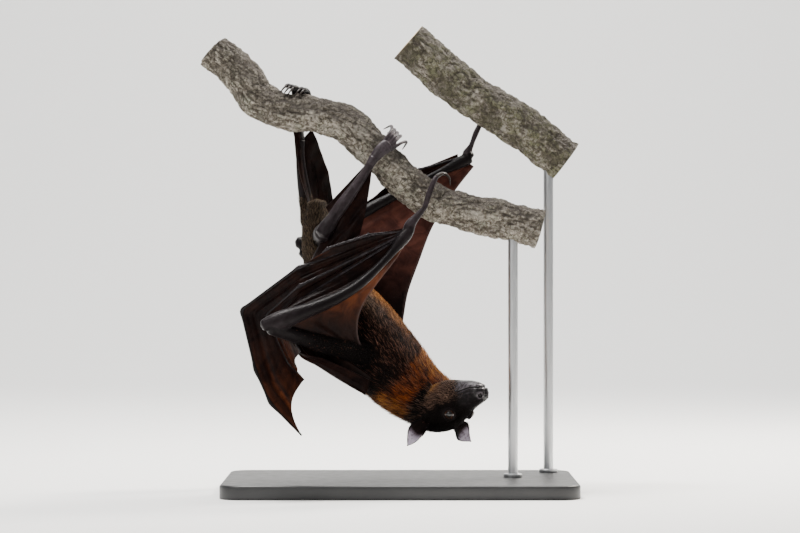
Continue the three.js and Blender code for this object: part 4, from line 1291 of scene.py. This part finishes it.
def trunk_marks(points):
    """Under colour, tip colour and share of pale tips of the coat at points on the trunk."""
    t, offset = nearest(midline, points)
    way = unit(offset)
    belly = way @ BELLY_AXIS
    wobble = cloud(points, 26, 1) * 0.022 + cloud(points, 7, 2) * 0.012
    t_here = t + wobble
    base = np.tile(BROWN, (len(points), 1))
    tip = np.tile(BROWN_TIP, (len(points), 1))
    pale = 0.24 + 0.1 * cloud(points, 14, 3)
    rump = ramp(-t_here, -0.42, -0.26)
    base, tip = blend(base, RUMP, rump), blend(tip, RUMP_TIP, rump)
    pale = pale + 0.25 * rump
    apex = mound(t_here - 0.42, 0.12) * ramp(belly, 0.1, 0.7)
    base, tip = blend(base, FROST, apex), blend(tip, FROST_TIP, apex)
    pale = pale + 0.3 * apex
    # A golden rim along the belly's edge: painted rim light.
    rim = ramp(belly, 0.72, 0.97) * ramp(t_here, 0.2, 0.34) * ramp(-t_here, -0.8, -0.5)
    base, tip = blend(base, GOLD, rim * 0.8), blend(tip, GOLD_TIP, rim)
    pale = pale + 0.45 * rim
    # The mantle is narrow on the sides of the neck and wide at the throat and the nape.
    spread = np.abs(belly) ** 1.5
    mantle = ramp(t_here, 0.82 - 0.05 * spread, 0.88 - 0.05 * spread)
    mantle = mantle * (0.4 + 0.6 * ramp(cloud(points, 8, 5), -0.8, 0.5))
    base, tip = blend(base, RUST, mantle), blend(tip, RUST_TIP, mantle)
    pale = pale + 0.25 * mantle
    edge = mantle * np.maximum(ramp(belly, 0.5, 0.95), ramp(-belly, 0.5, 0.95))
    base, tip = blend(base, MANTLE_EDGE, edge * 0.7), blend(tip, FLAME_TIP, edge * 0.85)
    head_end = ramp(t_here - 0.1 * ramp(belly, 0, 0.8), 0.905, 0.955)
    base, tip = blend(base, BLACK, head_end), blend(tip, CHEEK_TIP, head_end)
    pale = pale * (1 - 0.75 * head_end)
    # Black with few pale tips on the near side of the shoulders, under the folded wing: painted shade.
    shoulder_shade = ramp(way @ SIDE_AXIS, 0.1, 0.7) * ramp(-belly, -0.35, 0.25)
    shoulder_shade = shoulder_shade * ramp(t_here, 0.5, 0.62) * ramp(-t_here, -0.86, -0.8)
    pale = pale * (1 - 0.7 * shoulder_shade)
    return blend(base, BLACK, shoulder_shade * 0.8), tip, np.clip(pale, 0, 1)


def head_marks(points):
    f, l, u = in_head(points).T
    wobble = cloud(points, 16, 4) * 2.2 + cloud(points, 5, 5) * 0.9
    base = np.tile(BLACK, (len(points), 1))
    tip = np.tile(CROWN_TIP, (len(points), 1))
    pale = np.full(len(points), 0.25)
    low = -u + wobble
    cheek = ramp(low, 8, 16) * ramp(f + wobble, -28, -15)
    base, tip = blend(base, CHEEK, cheek), blend(tip, CHEEK_TIP, cheek)
    pale = pale + 0.3 * cheek
    throat = ramp(low, 22, 31) * ramp(-f + wobble, -2, 9)
    base, tip = blend(base, THROAT, throat), blend(tip, FLAME_TIP, throat)
    pale = pale + 0.35 * throat
    nape = ramp(-f + wobble * 1.2 + 0.8 * (low - 18), 33, 46) * ramp(low, 6, 18)
    base, tip = blend(base, RUST, nape), blend(tip, RUST_TIP, nape)
    return base, tip, np.clip(pale + 0.3 * nape, 0, 1)


# ---------------------------------------------------------------- skin
# One skin for the head, ears, trunk and limbs. It has the coat's markings under the fur, and
# where it is bare it is creased and has a low sheen, and is damp on the nose and lips.
HIDE_DARK = (0.004, 0.003, 0.0032)
HIDE_MAUVE = (0.017, 0.0125, 0.0137)
HIDE_PALE = (0.055, 0.044, 0.05)
# The colour of painted shade in the creases of bare skin.
CREASE_SHADE = (0.008, 0.0062, 0.0065)
HIDE_PORE = (0.06, 0.05, 0.052)
TOE_SPECKLE = (0.03, 0.025, 0.027)
MUZZLE = (0.006, 0.005, 0.0055)
MUZZLE_PALE = (0.014, 0.011, 0.0115)
JAW_LILAC = (0.085, 0.075, 0.085)
JAW_DARK = (0.03, 0.024, 0.026)
LIP_LILAC_AND_HIGHLIGHT = (0.07, 0.06, 0.068)
LIP_GAP_SHADE = (0.005, 0.004, 0.004)
NOSTRIL_RIM = (0.085, 0.073, 0.081)
NOSTRIL_HOLE_SHADE = (0.004, 0.003, 0.003)
LID_HIDE = (0.007, 0.005, 0.005)
LID_REACH = 8.6
EAR_LILAC = (0.56, 0.49, 0.59)
EAR_PLUM = (0.3, 0.24, 0.3)
EAR_ROOT = (0.02, 0.008, 0.0075)
EAR_RIM = (0.01, 0.008, 0.009)

body_kind, body_t = body_part(body_points)
is_trunk = body_kind == "trunk"
is_thigh = np.char.startswith(body_kind, "thigh")
is_upper = np.char.startswith(body_kind, "upper_arm")
is_shin = np.char.startswith(body_kind, "shin")
is_far = np.char.endswith(body_kind, "right")
furry = np.where(is_trunk, 1.0, 0.0)
furry = np.where(is_thigh, ramp(-body_t, -0.8, -0.15), furry)
furry = np.where(is_upper, ramp(-body_t, -0.95, -0.6), furry)
furry = np.where(is_shin, ramp(-body_t, -0.4, -0.25) * is_far, furry)
base, tip, pale = trunk_marks(body_points)
mottle = 0.5 + 0.5 * cloud(body_points, 9, 6)
hide = blend(HIDE_MAUVE, HIDE_PALE, np.clip(mottle, 0, 1) * 0.4)
is_arm = np.char.startswith(body_kind, "forearm") | is_upper
mid_arm = ramp(body_t, 0.06, 0.35) * ramp(-body_t, -0.98, -0.85)
# Darker hide on the upper arms, the near forearm's middle, the thighs and the top of the near shin; the far
# arm and far shin are painted darker all over: painted shade.
dark_hide_and_shade = np.where(is_upper | is_far, 1.0, 0.6 + 0.4 * mid_arm) * is_arm
dark_hide_and_shade = np.maximum(dark_hide_and_shade, 0.8 * (is_far & is_shin))
dark_hide_and_shade = np.maximum(dark_hide_and_shade, 0.6 * is_thigh)
dark_hide_and_shade = np.maximum(dark_hide_and_shade, 0.55 * is_shin * ramp(-body_t, -0.45, -0.1))
hide = blend(hide, HIDE_DARK, dark_hide_and_shade * 0.92)
body_colour = blend(hide, blend(base * 0.8, BLACK, is_upper.astype(float)), furry)

f, l, u = in_head(head_points).T
base, tip, pale = head_marks(head_points)
bare = ramp(f + 2 * cloud(head_points, 5, 21), 9, 17)
snout = blend(MUZZLE, MUZZLE_PALE, np.clip(cloud(head_points, 6, 7), 0, 1))
below_mouth = ramp(mouth_height(f) - u, -0.2, 0.8)
jaw_patches = np.clip(0.7 + 0.45 * cloud(head_points, 4, 22), 0.15, 1)
snout = blend(snout, JAW_LILAC, below_mouth * ramp(f, 8, 18) * jaw_patches)
snout = blend(snout, JAW_DARK, below_mouth * np.clip(cloud(head_points, 8, 10), 0, 0.8))
# Paler along the rolled upper lip and the crest above it: partly the lips' lilac skin, partly painted
# highlight.
lip = mound(u - mouth_height(f) - 1.4, 0.8) + 0.5 * mound(u - mouth_height(f) - 5.1, 0.7)
lip *= ramp(f, MOUTH_CORNER, 18) * np.clip(0.6 + 0.6 * cloud(head_points, 7, 12), 0, 1)
snout = blend(snout, LIP_LILAC_AND_HIGHLIGHT, lip * 0.75)
# Darker in the fold between the lips: painted shade.
mouth_shade = mound(u - mouth_height(f), 0.75) * ramp(f, MOUTH_CORNER - 3, MOUTH_CORNER)
snout = blend(snout, LIP_GAP_SHADE, mouth_shade)
head_colour = blend(base * 0.8, snout, bare)
nose_damp = np.maximum(ramp(f, 31, 35) * 0.5, 0.45 * below_mouth * ramp(f, 12, 20)) + 0.4 * lip
for sign in (1, -1):
    hole = np.array((NOSTRIL[0], sign * NOSTRIL[1], NOSTRIL[2]))
    from_hole = np.linalg.norm(in_head(head_points) - hole, axis=1)
    head_colour = blend(head_colour, NOSTRIL_RIM, mound(from_hole - 3.2, 0.9) * 0.8)
    # Dark inside the nostril: painted shade.
    head_colour = blend(head_colour, NOSTRIL_HOLE_SHADE, ramp(-from_hole, -2.7, -1.9))
    from_eye = np.linalg.norm(in_head(head_points) - np.array((0, sign * EYE_ASIDE, 0)), axis=1)
    lid = ramp(-from_eye, -LID_REACH, -7.4)
    head_colour = blend(head_colour, LID_HIDE, lid)

shapes = [(body_points, body_faces)] + [foot_skins[k] for k in LEGS] + [(head_points, head_faces)]
colours = [body_colour]
bareness = [1 - furry]
damp = [np.zeros(len(body_points))]
for side_name in LEGS:
    toes = foot_skins[side_name][0]
    speckle = np.clip(0.5 + 0.6 * cloud(toes, 5, 8), 0, 1)
    low_leg = Line(LEGS[side_name]["shin"]).at(1.0)
    reach = ramp(np.linalg.norm(toes - low_leg, axis=1), 2, 14)
    pale_toes = blend(HIDE_PALE, TOE_SPECKLE, speckle)
    # The far foot is painted darker than the near one: painted shade.
    if side_name == "right":
        pale_toes = blend(HIDE_DARK, HIDE_MAUVE, speckle * 0.4)
    ankle_hide = blend(HIDE_MAUVE, HIDE_PALE, speckle * 0.4)
    ankle_hide = blend(ankle_hide, HIDE_DARK, np.full(len(toes), 0.74 if side_name == "right" else 0))
    colours.append(blend(ankle_hide, pale_toes, reach))
    bareness.append(np.ones(len(toes)))
    damp.append(np.full(len(toes), 0.12 if side_name == "left" else 0))
colours.append(head_colour)
bareness.append(bare)
damp.append(nose_damp)
for ear_points, ear_faces, tones in ear_shapes.values():
    shapes.append((ear_points, ear_faces))
    lilac = blend(EAR_LILAC, EAR_PLUM, np.clip(cloud(ear_points, 6, 9), 0, 1))
    colours.append(blend(blend(lilac, EAR_ROOT, tones[:, 1]), EAR_RIM, tones[:, 0]))
    bareness.append(np.ones(len(ear_points)))
    damp.append(np.zeros(len(ear_points)))

skin_finish, wire = finish_named("skin", Specular_IOR_Level=0.06, Coat_Roughness=0.25)
pores = wire.noise(0.0009, 5, 0.6)
creases = wire.noise(0.0028, 6, 0.65, 0.9)
hide_colour = wire.attribute("hide", "Color")
is_bare = wire.attribute("bare")
# Darker in the creases of bare skin: painted shade.
darker = (creases.within(0.52, 0.75) * is_bare * 0.55).mixed(hide_colour, CREASE_SHADE)
wire.feed("Base Color", (pores.within(0.55, 0.8) * 0.15).mixed(darker, HIDE_PORE))
wire.feed("Roughness", creases * 0.25 + 0.22 + (1 - is_bare) * 0.35)
wire.feed("Coat Weight", wire.attribute("damp") * creases.within(0.25, 0.6))
wire.bump(creases * is_bare + pores * 0.35, 0.0004)

skin = make_piece("skin", *joined(shapes), skin_finish)
tone(skin, "hide", np.vstack(colours))
tone(skin, "bare", np.concatenate(bareness))
tone(skin, "damp", np.concatenate(damp))
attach(skin, "root")
fleshy = ("hips", "belly", "chest", "neck", "head", "nose", "lower_jaw")
paired = ("ear", "thigh", "shin", "foot", "upper_arm", "forearm", "thumb")
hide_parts(*fleshy, *(f"{name}_{side_name}" for name in paired for side_name in LEGS))


# ---------------------------------------------------------------- claws
# Curved claws of black-brown horn, deeper than they are wide: one on each toe, dug into the
# bark, and a larger hooked one on each thumb.
horn, wire = finish_named("claw_horn", Specular_IOR_Level=0.2)
growth = wire.noise(0.0012, 4, 0.6, 0.3, wire.place((1, 1, 0.4)))
wire.feed("Base Color", growth.within(0.35, 0.7).mixed((0.005, 0.0035, 0.003), (0.03, 0.019, 0.015)))
wire.feed("Roughness", growth * 0.25 + 0.26)
wire.bump(growth, 0.00008)

for side_name in LEGS:
    grip = LEGS[side_name]["grip"]
    claws = []
    for ends in LEGS[side_name]["toes"]:
        toe = Line(toe_line(grip, ends))
        claws.append(tube(
            toe, CLAW_FROM - 0.04 + (1.03 - CLAW_FROM) * np.linspace(0, 1, 26) ** 1.1,
            lambda t: (2.1 * (1.02 - t) ** 0.5, 2.9 * (1.02 - t) ** 0.5, 0), 14,
            np.cross(grip["run"], (0, 0, 1.0)) + (0.01, 0, 0), round_ends=0.2,
        ))
    piece = make_piece(f"toe_claws_{side_name}", *joined(claws), horn)
    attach(piece, "root")
    thumb_claw = Line(ARMS[side_name]["thumb_claw"])
    piece = make_piece(f"thumb_hook_{side_name}", *tube(
        thumb_claw, np.linspace(0, 1, 40),
        lambda t: (2.0 * (1 - t) ** 0.75 + 0.25, 2.5 * (1 - t) ** 0.7 + 0.3, 0), 18,
        (0, 1, 0.1), round_ends=0.8,
    ), horn)
    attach(piece, "root")
    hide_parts(f"thumb_claw_{side_name}")


# ---------------------------------------------------------------- coat
# Dense soft fur in thin pointed tufts that lie towards the rump. It is longest on the mantle
# and chest, short on the rump, and very short on the face. Neighbouring tips draw together.
rng = np.random.default_rng(41)
TUFTS_A_PIECE = 19500
PATCH = 0.0015
TRUNK_TUFTS = 88000
HEAD_TUFTS = 30000
EAR_TUFTS = 2200
EAR_TUFT_LIFT = 16.0
EAR_TUFT_WIDTH = 0.3
BARE_LID = 6.6
LEADERS = 0.055
FUR_LENGTH = [(0, 3.6), (0.12, 4.4), (0.25, 6), (0.45, 7.5), (0.65, 9), (0.78, 11), (0.9, 12), (1, 10)]
FUR_LIFT = [(0, 30), (0.3, 28), (0.6, 30), (0.8, 36), (1, 36)]
HEAD_FUR_LENGTH = [(-47, 11), (-38, 8.5), (-25, 5.5), (-12, 3.8), (0, 2.9), (10, 2.1), (18, 1.1), (24, 0.8)]


def scattered(points, faces, weight, count):
    """Random places on the faces, more where the points' weight is more, with their normals."""
    corners = np.array([(*face, face[2])[:4] for face in faces if len(face) in (3, 4)])
    a, b, c, d = (points[corners[:, k]] for k in range(4))
    area = np.linalg.norm(np.cross(c - a, d - b), axis=1) / 2
    area = np.maximum(area, np.linalg.norm(np.cross(b - a, c - a), axis=1) / 2)
    share = area * weight[corners].mean(axis=1)
    face_at = rng.choice(len(corners), count, p=share / share.sum())
    s, r = rng.random((2, count, 1))
    a, b, c, d = (points[corners[face_at, k]] for k in range(4))
    place = (a * (1 - s) + b * s) * (1 - r) + (d * (1 - s) + c * s) * r
    return place, unit(np.cross(c - a, d - b + 1e-9))


def tufts(name, roots, normals, lie, length, lift, width, colours, unwrap, order):
    """Pieces of fur. Each tuft is a thin three-sided lock, bent back towards the skin."""
    lie = unit(lie - normals * (lie * normals).sum(axis=1, keepdims=True))
    across = unit(np.cross(normals, lie))
    lift = np.radians(lift)[:, None]
    first = lie * np.cos(lift) + normals * np.sin(lift)
    second = lie * np.cos(lift * 0.45) + normals * np.sin(lift * 0.45)
    middle = roots + first * (length * 0.45)[:, None]
    tips = middle + second * (length * 0.55)[:, None]
    # Neighbouring tips draw together round a few leading ones.
    leaders = np.flatnonzero(rng.random(len(roots)) < LEADERS)
    tree = KDTree(len(leaders))
    for k, leader in enumerate(leaders):
        tree.insert(roots[leader], k)
    tree.balance()
    chief = leaders[[tree.find(root)[1] for root in roots]]
    draw = (0.42 * rng.random(len(roots)) ** 0.6)[:, None]
    reach = tips[chief] - tips
    distance = np.maximum(np.linalg.norm(reach, axis=1, keepdims=True), 1e-6)
    reach = reach * np.minimum(1, (length * 0.55)[:, None] / distance)
    tips = tips + reach * draw
    middle = middle + reach * draw * 0.3
    half = (width / 2)[:, None]
    sunk = roots - normals * 0.5
    up = unit(np.cross(first, across)) * -1
    points = np.stack([
        sunk + across * half, sunk - across * half, sunk + up * half * 0.8,
        middle + across * half * 0.72, middle - across * half * 0.72, middle + up * half * 0.6,
        tips,
    ], axis=1)
    pattern = np.array([
        (0, 1, 4), (0, 4, 3), (1, 2, 5), (1, 5, 4), (2, 0, 3),
        (2, 3, 5), (3, 4, 6), (4, 5, 6), (5, 3, 6), (0, 2, 1),
    ])
    patch = np.array([(-1, -1), (1, -1), (0, -1), (-1, 0), (1, 0), (0, 0), (0, 1)]) * PATCH
    order = np.argsort(order, kind="stable")
    pieces = -(-len(order) // TUFTS_A_PIECE)
    for number, chosen in enumerate(np.array_split(order, pieces), 1):
        count = len(chosen)
        faces = (pattern[None] + 7 * np.arange(count)[:, None, None]).reshape(-1, 3)
        piece = make_piece(f"{name}_{number}", points[chosen].reshape(-1, 3), faces.tolist(), coat_finish)
        tone(piece, "coat", colours[chosen].reshape(-1, 3))
        uv = (unwrap[chosen][:, None] + patch[None]).reshape(-1, 2)
        piece.data.uv_layers.new(name="OFBake").data.foreach_set("uv", uv[faces.ravel()].ravel())
        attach(piece, "root")


def tuft_colours(base, tip, pale):
    """A colour for each of a tuft's points: dark at the root, its own shade at the tip."""
    count = len(base)
    is_pale = (rng.random(count) < pale).astype(float)
    shade = (0.45 + 1.15 * rng.random(count) ** 1.4)[:, None]
    root = base * 0.3
    middle = blend(base * shade, tip * shade * 0.75, is_pale * 0.55)
    end = blend(base * shade * 1.5, tip * shade, is_pale)
    return np.stack([root] * 3 + [middle] * 3 + [end], axis=1)


coat_finish, wire = finish_named("coat", Specular_IOR_Level=0.05)
strands = wire.noise(0.0006, 3, 0.6)
coat_colour = wire.attribute("coat", "Color")
wire.feed("Base Color", (strands.within(0.35, 0.75) * 0.3).mixed(coat_colour, (0.02, 0.013, 0.01)))
wire.feed("Roughness", strands * 0.2 + 0.45)
wire.bump(strands, 0.00015)

on_rump = nearest(midline, body_points)[0]
closeness = furry * (1 + 1.2 * ramp(-on_rump, -0.3, -0.1))
roots, normals = scattered(body_points, body_faces, closeness, TRUNK_TUFTS)
kind, t_limb = body_part(roots)
t, offset = nearest(midline, roots)
angle = np.arctan2(offset @ SIDE_AXIS, offset @ BELLY_AXIS)
lie = -midline.run(t)
for key, (line, _) in limb_lines.items():
    lie = np.where((kind == key)[:, None], line.run(t_limb), lie)
lie = lie + 0.22 * np.stack([cloud(roots, 17, seed) for seed in (11, 12, 13)], -1)
lie = lie + 0.16 * rng.normal(size=lie.shape)
length = along(FUR_LENGTH, t) * (0.78 + 0.44 * rng.random(len(roots)))
length = np.where(kind == "trunk", length, 4.5 * (1 - 0.7 * t_limb) * (0.8 + 0.4 * rng.random(len(roots))))
lift = along(FUR_LIFT, t) * (0.65 + 0.7 * rng.random(len(roots)))
width = (0.5 + 0.32 * rng.random(len(roots))) * (0.6 + 0.4 * ramp(t, 0.12, 0.4))
unwrap = np.stack([0.5 + angle / (2.05 * math.pi), 0.01 + 0.98 * t], -1)
base, tip, pale = trunk_marks(roots)
on_arm = np.char.startswith(kind, "upper_arm").astype(float)
colours = tuft_colours(blend(base, BLACK, on_arm), blend(tip, BROWN_TIP, on_arm), pale * (1 - 0.85 * on_arm))
order = t + 0.0001 * angle
is_mantle = (t > 0.76) & (kind == "trunk")
for name, slot, chosen in (("body_fur", "body_coat", ~is_mantle), ("mantle_fur", "mantle_coat", is_mantle)):
    tufts(
        name, roots[chosen], normals[chosen], lie[chosen], length[chosen], lift[chosen], width[chosen],
        colours[chosen], unwrap[chosen], order[chosen],
    )

f, l, u = in_head(head_points).T
eye_clear = np.ones(len(head_points))
for sign in (1, -1):
    from_eye = np.linalg.norm(in_head(head_points) - np.array((0, sign * EYE_ASIDE, 0)), axis=1)
    eye_clear *= ramp(from_eye, BARE_LID, BARE_LID + 0.5)
hairy = (1 - ramp(f, 12, 24)) * eye_clear * (0.35 + 0.65 * ramp(f, -47, -40))
hairy *= 1 - 0.9 * ramp(f + 2 * cloud(head_points, 5, 21), 9, 15) * ramp(mouth_height(f) - u, -1, 1)
roots, normals = scattered(head_points, head_faces, hairy, HEAD_TUFTS)
f, l, u = in_head(roots).T
back = np.stack([-np.ones(len(f)), 0.25 * np.sign(l) * ramp(f, 0, 20), -0.35 * ramp(-u, 6, 20)], -1)
swirl = np.stack([cloud(roots, 12, seed) for seed in (14, 15, 16)], -1)
lie = back @ HEAD_AXES + 0.2 * swirl
lie = lie + 0.14 * rng.normal(size=lie.shape)
length = along(HEAD_FUR_LENGTH, f) * (0.75 + 0.5 * rng.random(len(f)))
length = length * (1 + 0.9 * ramp(-u, 12, 22) * ramp(-f, -14, 0) * ramp(f, -34, -20))
for sign in (1, -1):
    from_eye = np.linalg.norm(in_head(roots) - np.array((0, sign * EYE_ASIDE, 0)), axis=1)
    length = np.minimum(length, 0.8 + 0.5 * np.maximum(from_eye - 7, 0))
lift = (24 + 8 * ramp(-f, 10, 40)) * (0.6 + 0.8 * rng.random(len(f)))
width = 0.32 + 0.3 * ramp(-f, -10, 30) + 0.12 * rng.random(len(f))
unwrap = np.stack([0.5 + np.arctan2(l, u + 13) / (2.05 * math.pi), 0.03 + 0.94 * (f + 48) / 90], -1)
tufts(
    "head_fur", roots, normals, lie, length, lift, width, tuft_colours(*head_marks(roots)),
    unwrap, f,
)

for side_name, (ear_points, ear_faces, tones) in ear_shapes.items():
    base_point = from_head(EARS[side_name]["root"])
    axis = unit(np.asarray(EARS[side_name]["reach"], float) @ HEAD_AXES)
    up_ear = (ear_points - base_point) @ axis / np.linalg.norm(EARS[side_name]["reach"])
    is_back = np.arange(len(ear_points)) < len(ear_points) / 2
    weight = np.where(is_back, 0.6 * ramp(-up_ear, -0.6, -0.2), ramp(-up_ear, -0.42, -0.08))
    roots, normals = scattered(ear_points, ear_faces, weight + 1e-6, EAR_TUFTS)
    up_root = (roots - base_point) @ axis / np.linalg.norm(EARS[side_name]["reach"])
    lie = axis + 0.3 * rng.normal(size=roots.shape)
    length = (2.9 - 3.2 * np.clip(up_root, 0, 0.6)) * (0.7 + 0.6 * rng.random(len(roots)))
    base, tip = (np.tile(colour, (len(roots), 1)) for colour in (BLACK, CROWN_TIP))
    shade = tuft_colours(base, tip, np.full(len(roots), 0.3))
    facing = unit(np.asarray(EARS[side_name]["facing"]) @ HEAD_AXES)
    aside = (roots - base_point) @ unit(np.cross(axis, facing)) / (2.4 * EAR_HALF_WIDTH)
    half_place = np.where((normals @ facing) > 0, 0.25, 0.75)
    unwrap = np.stack(
        [half_place + 0.46 * np.clip(aside, -0.5, 0.5), 0.25 + 0.7 * np.clip(up_root, -0.3, 1)], -1,
    )
    tufts(
        f"ear_fur_{side_name}", roots, normals, lie, length, np.full(len(roots), EAR_TUFT_LIFT),
        np.full(len(roots), EAR_TUFT_WIDTH), shade, unwrap, up_root,
    )
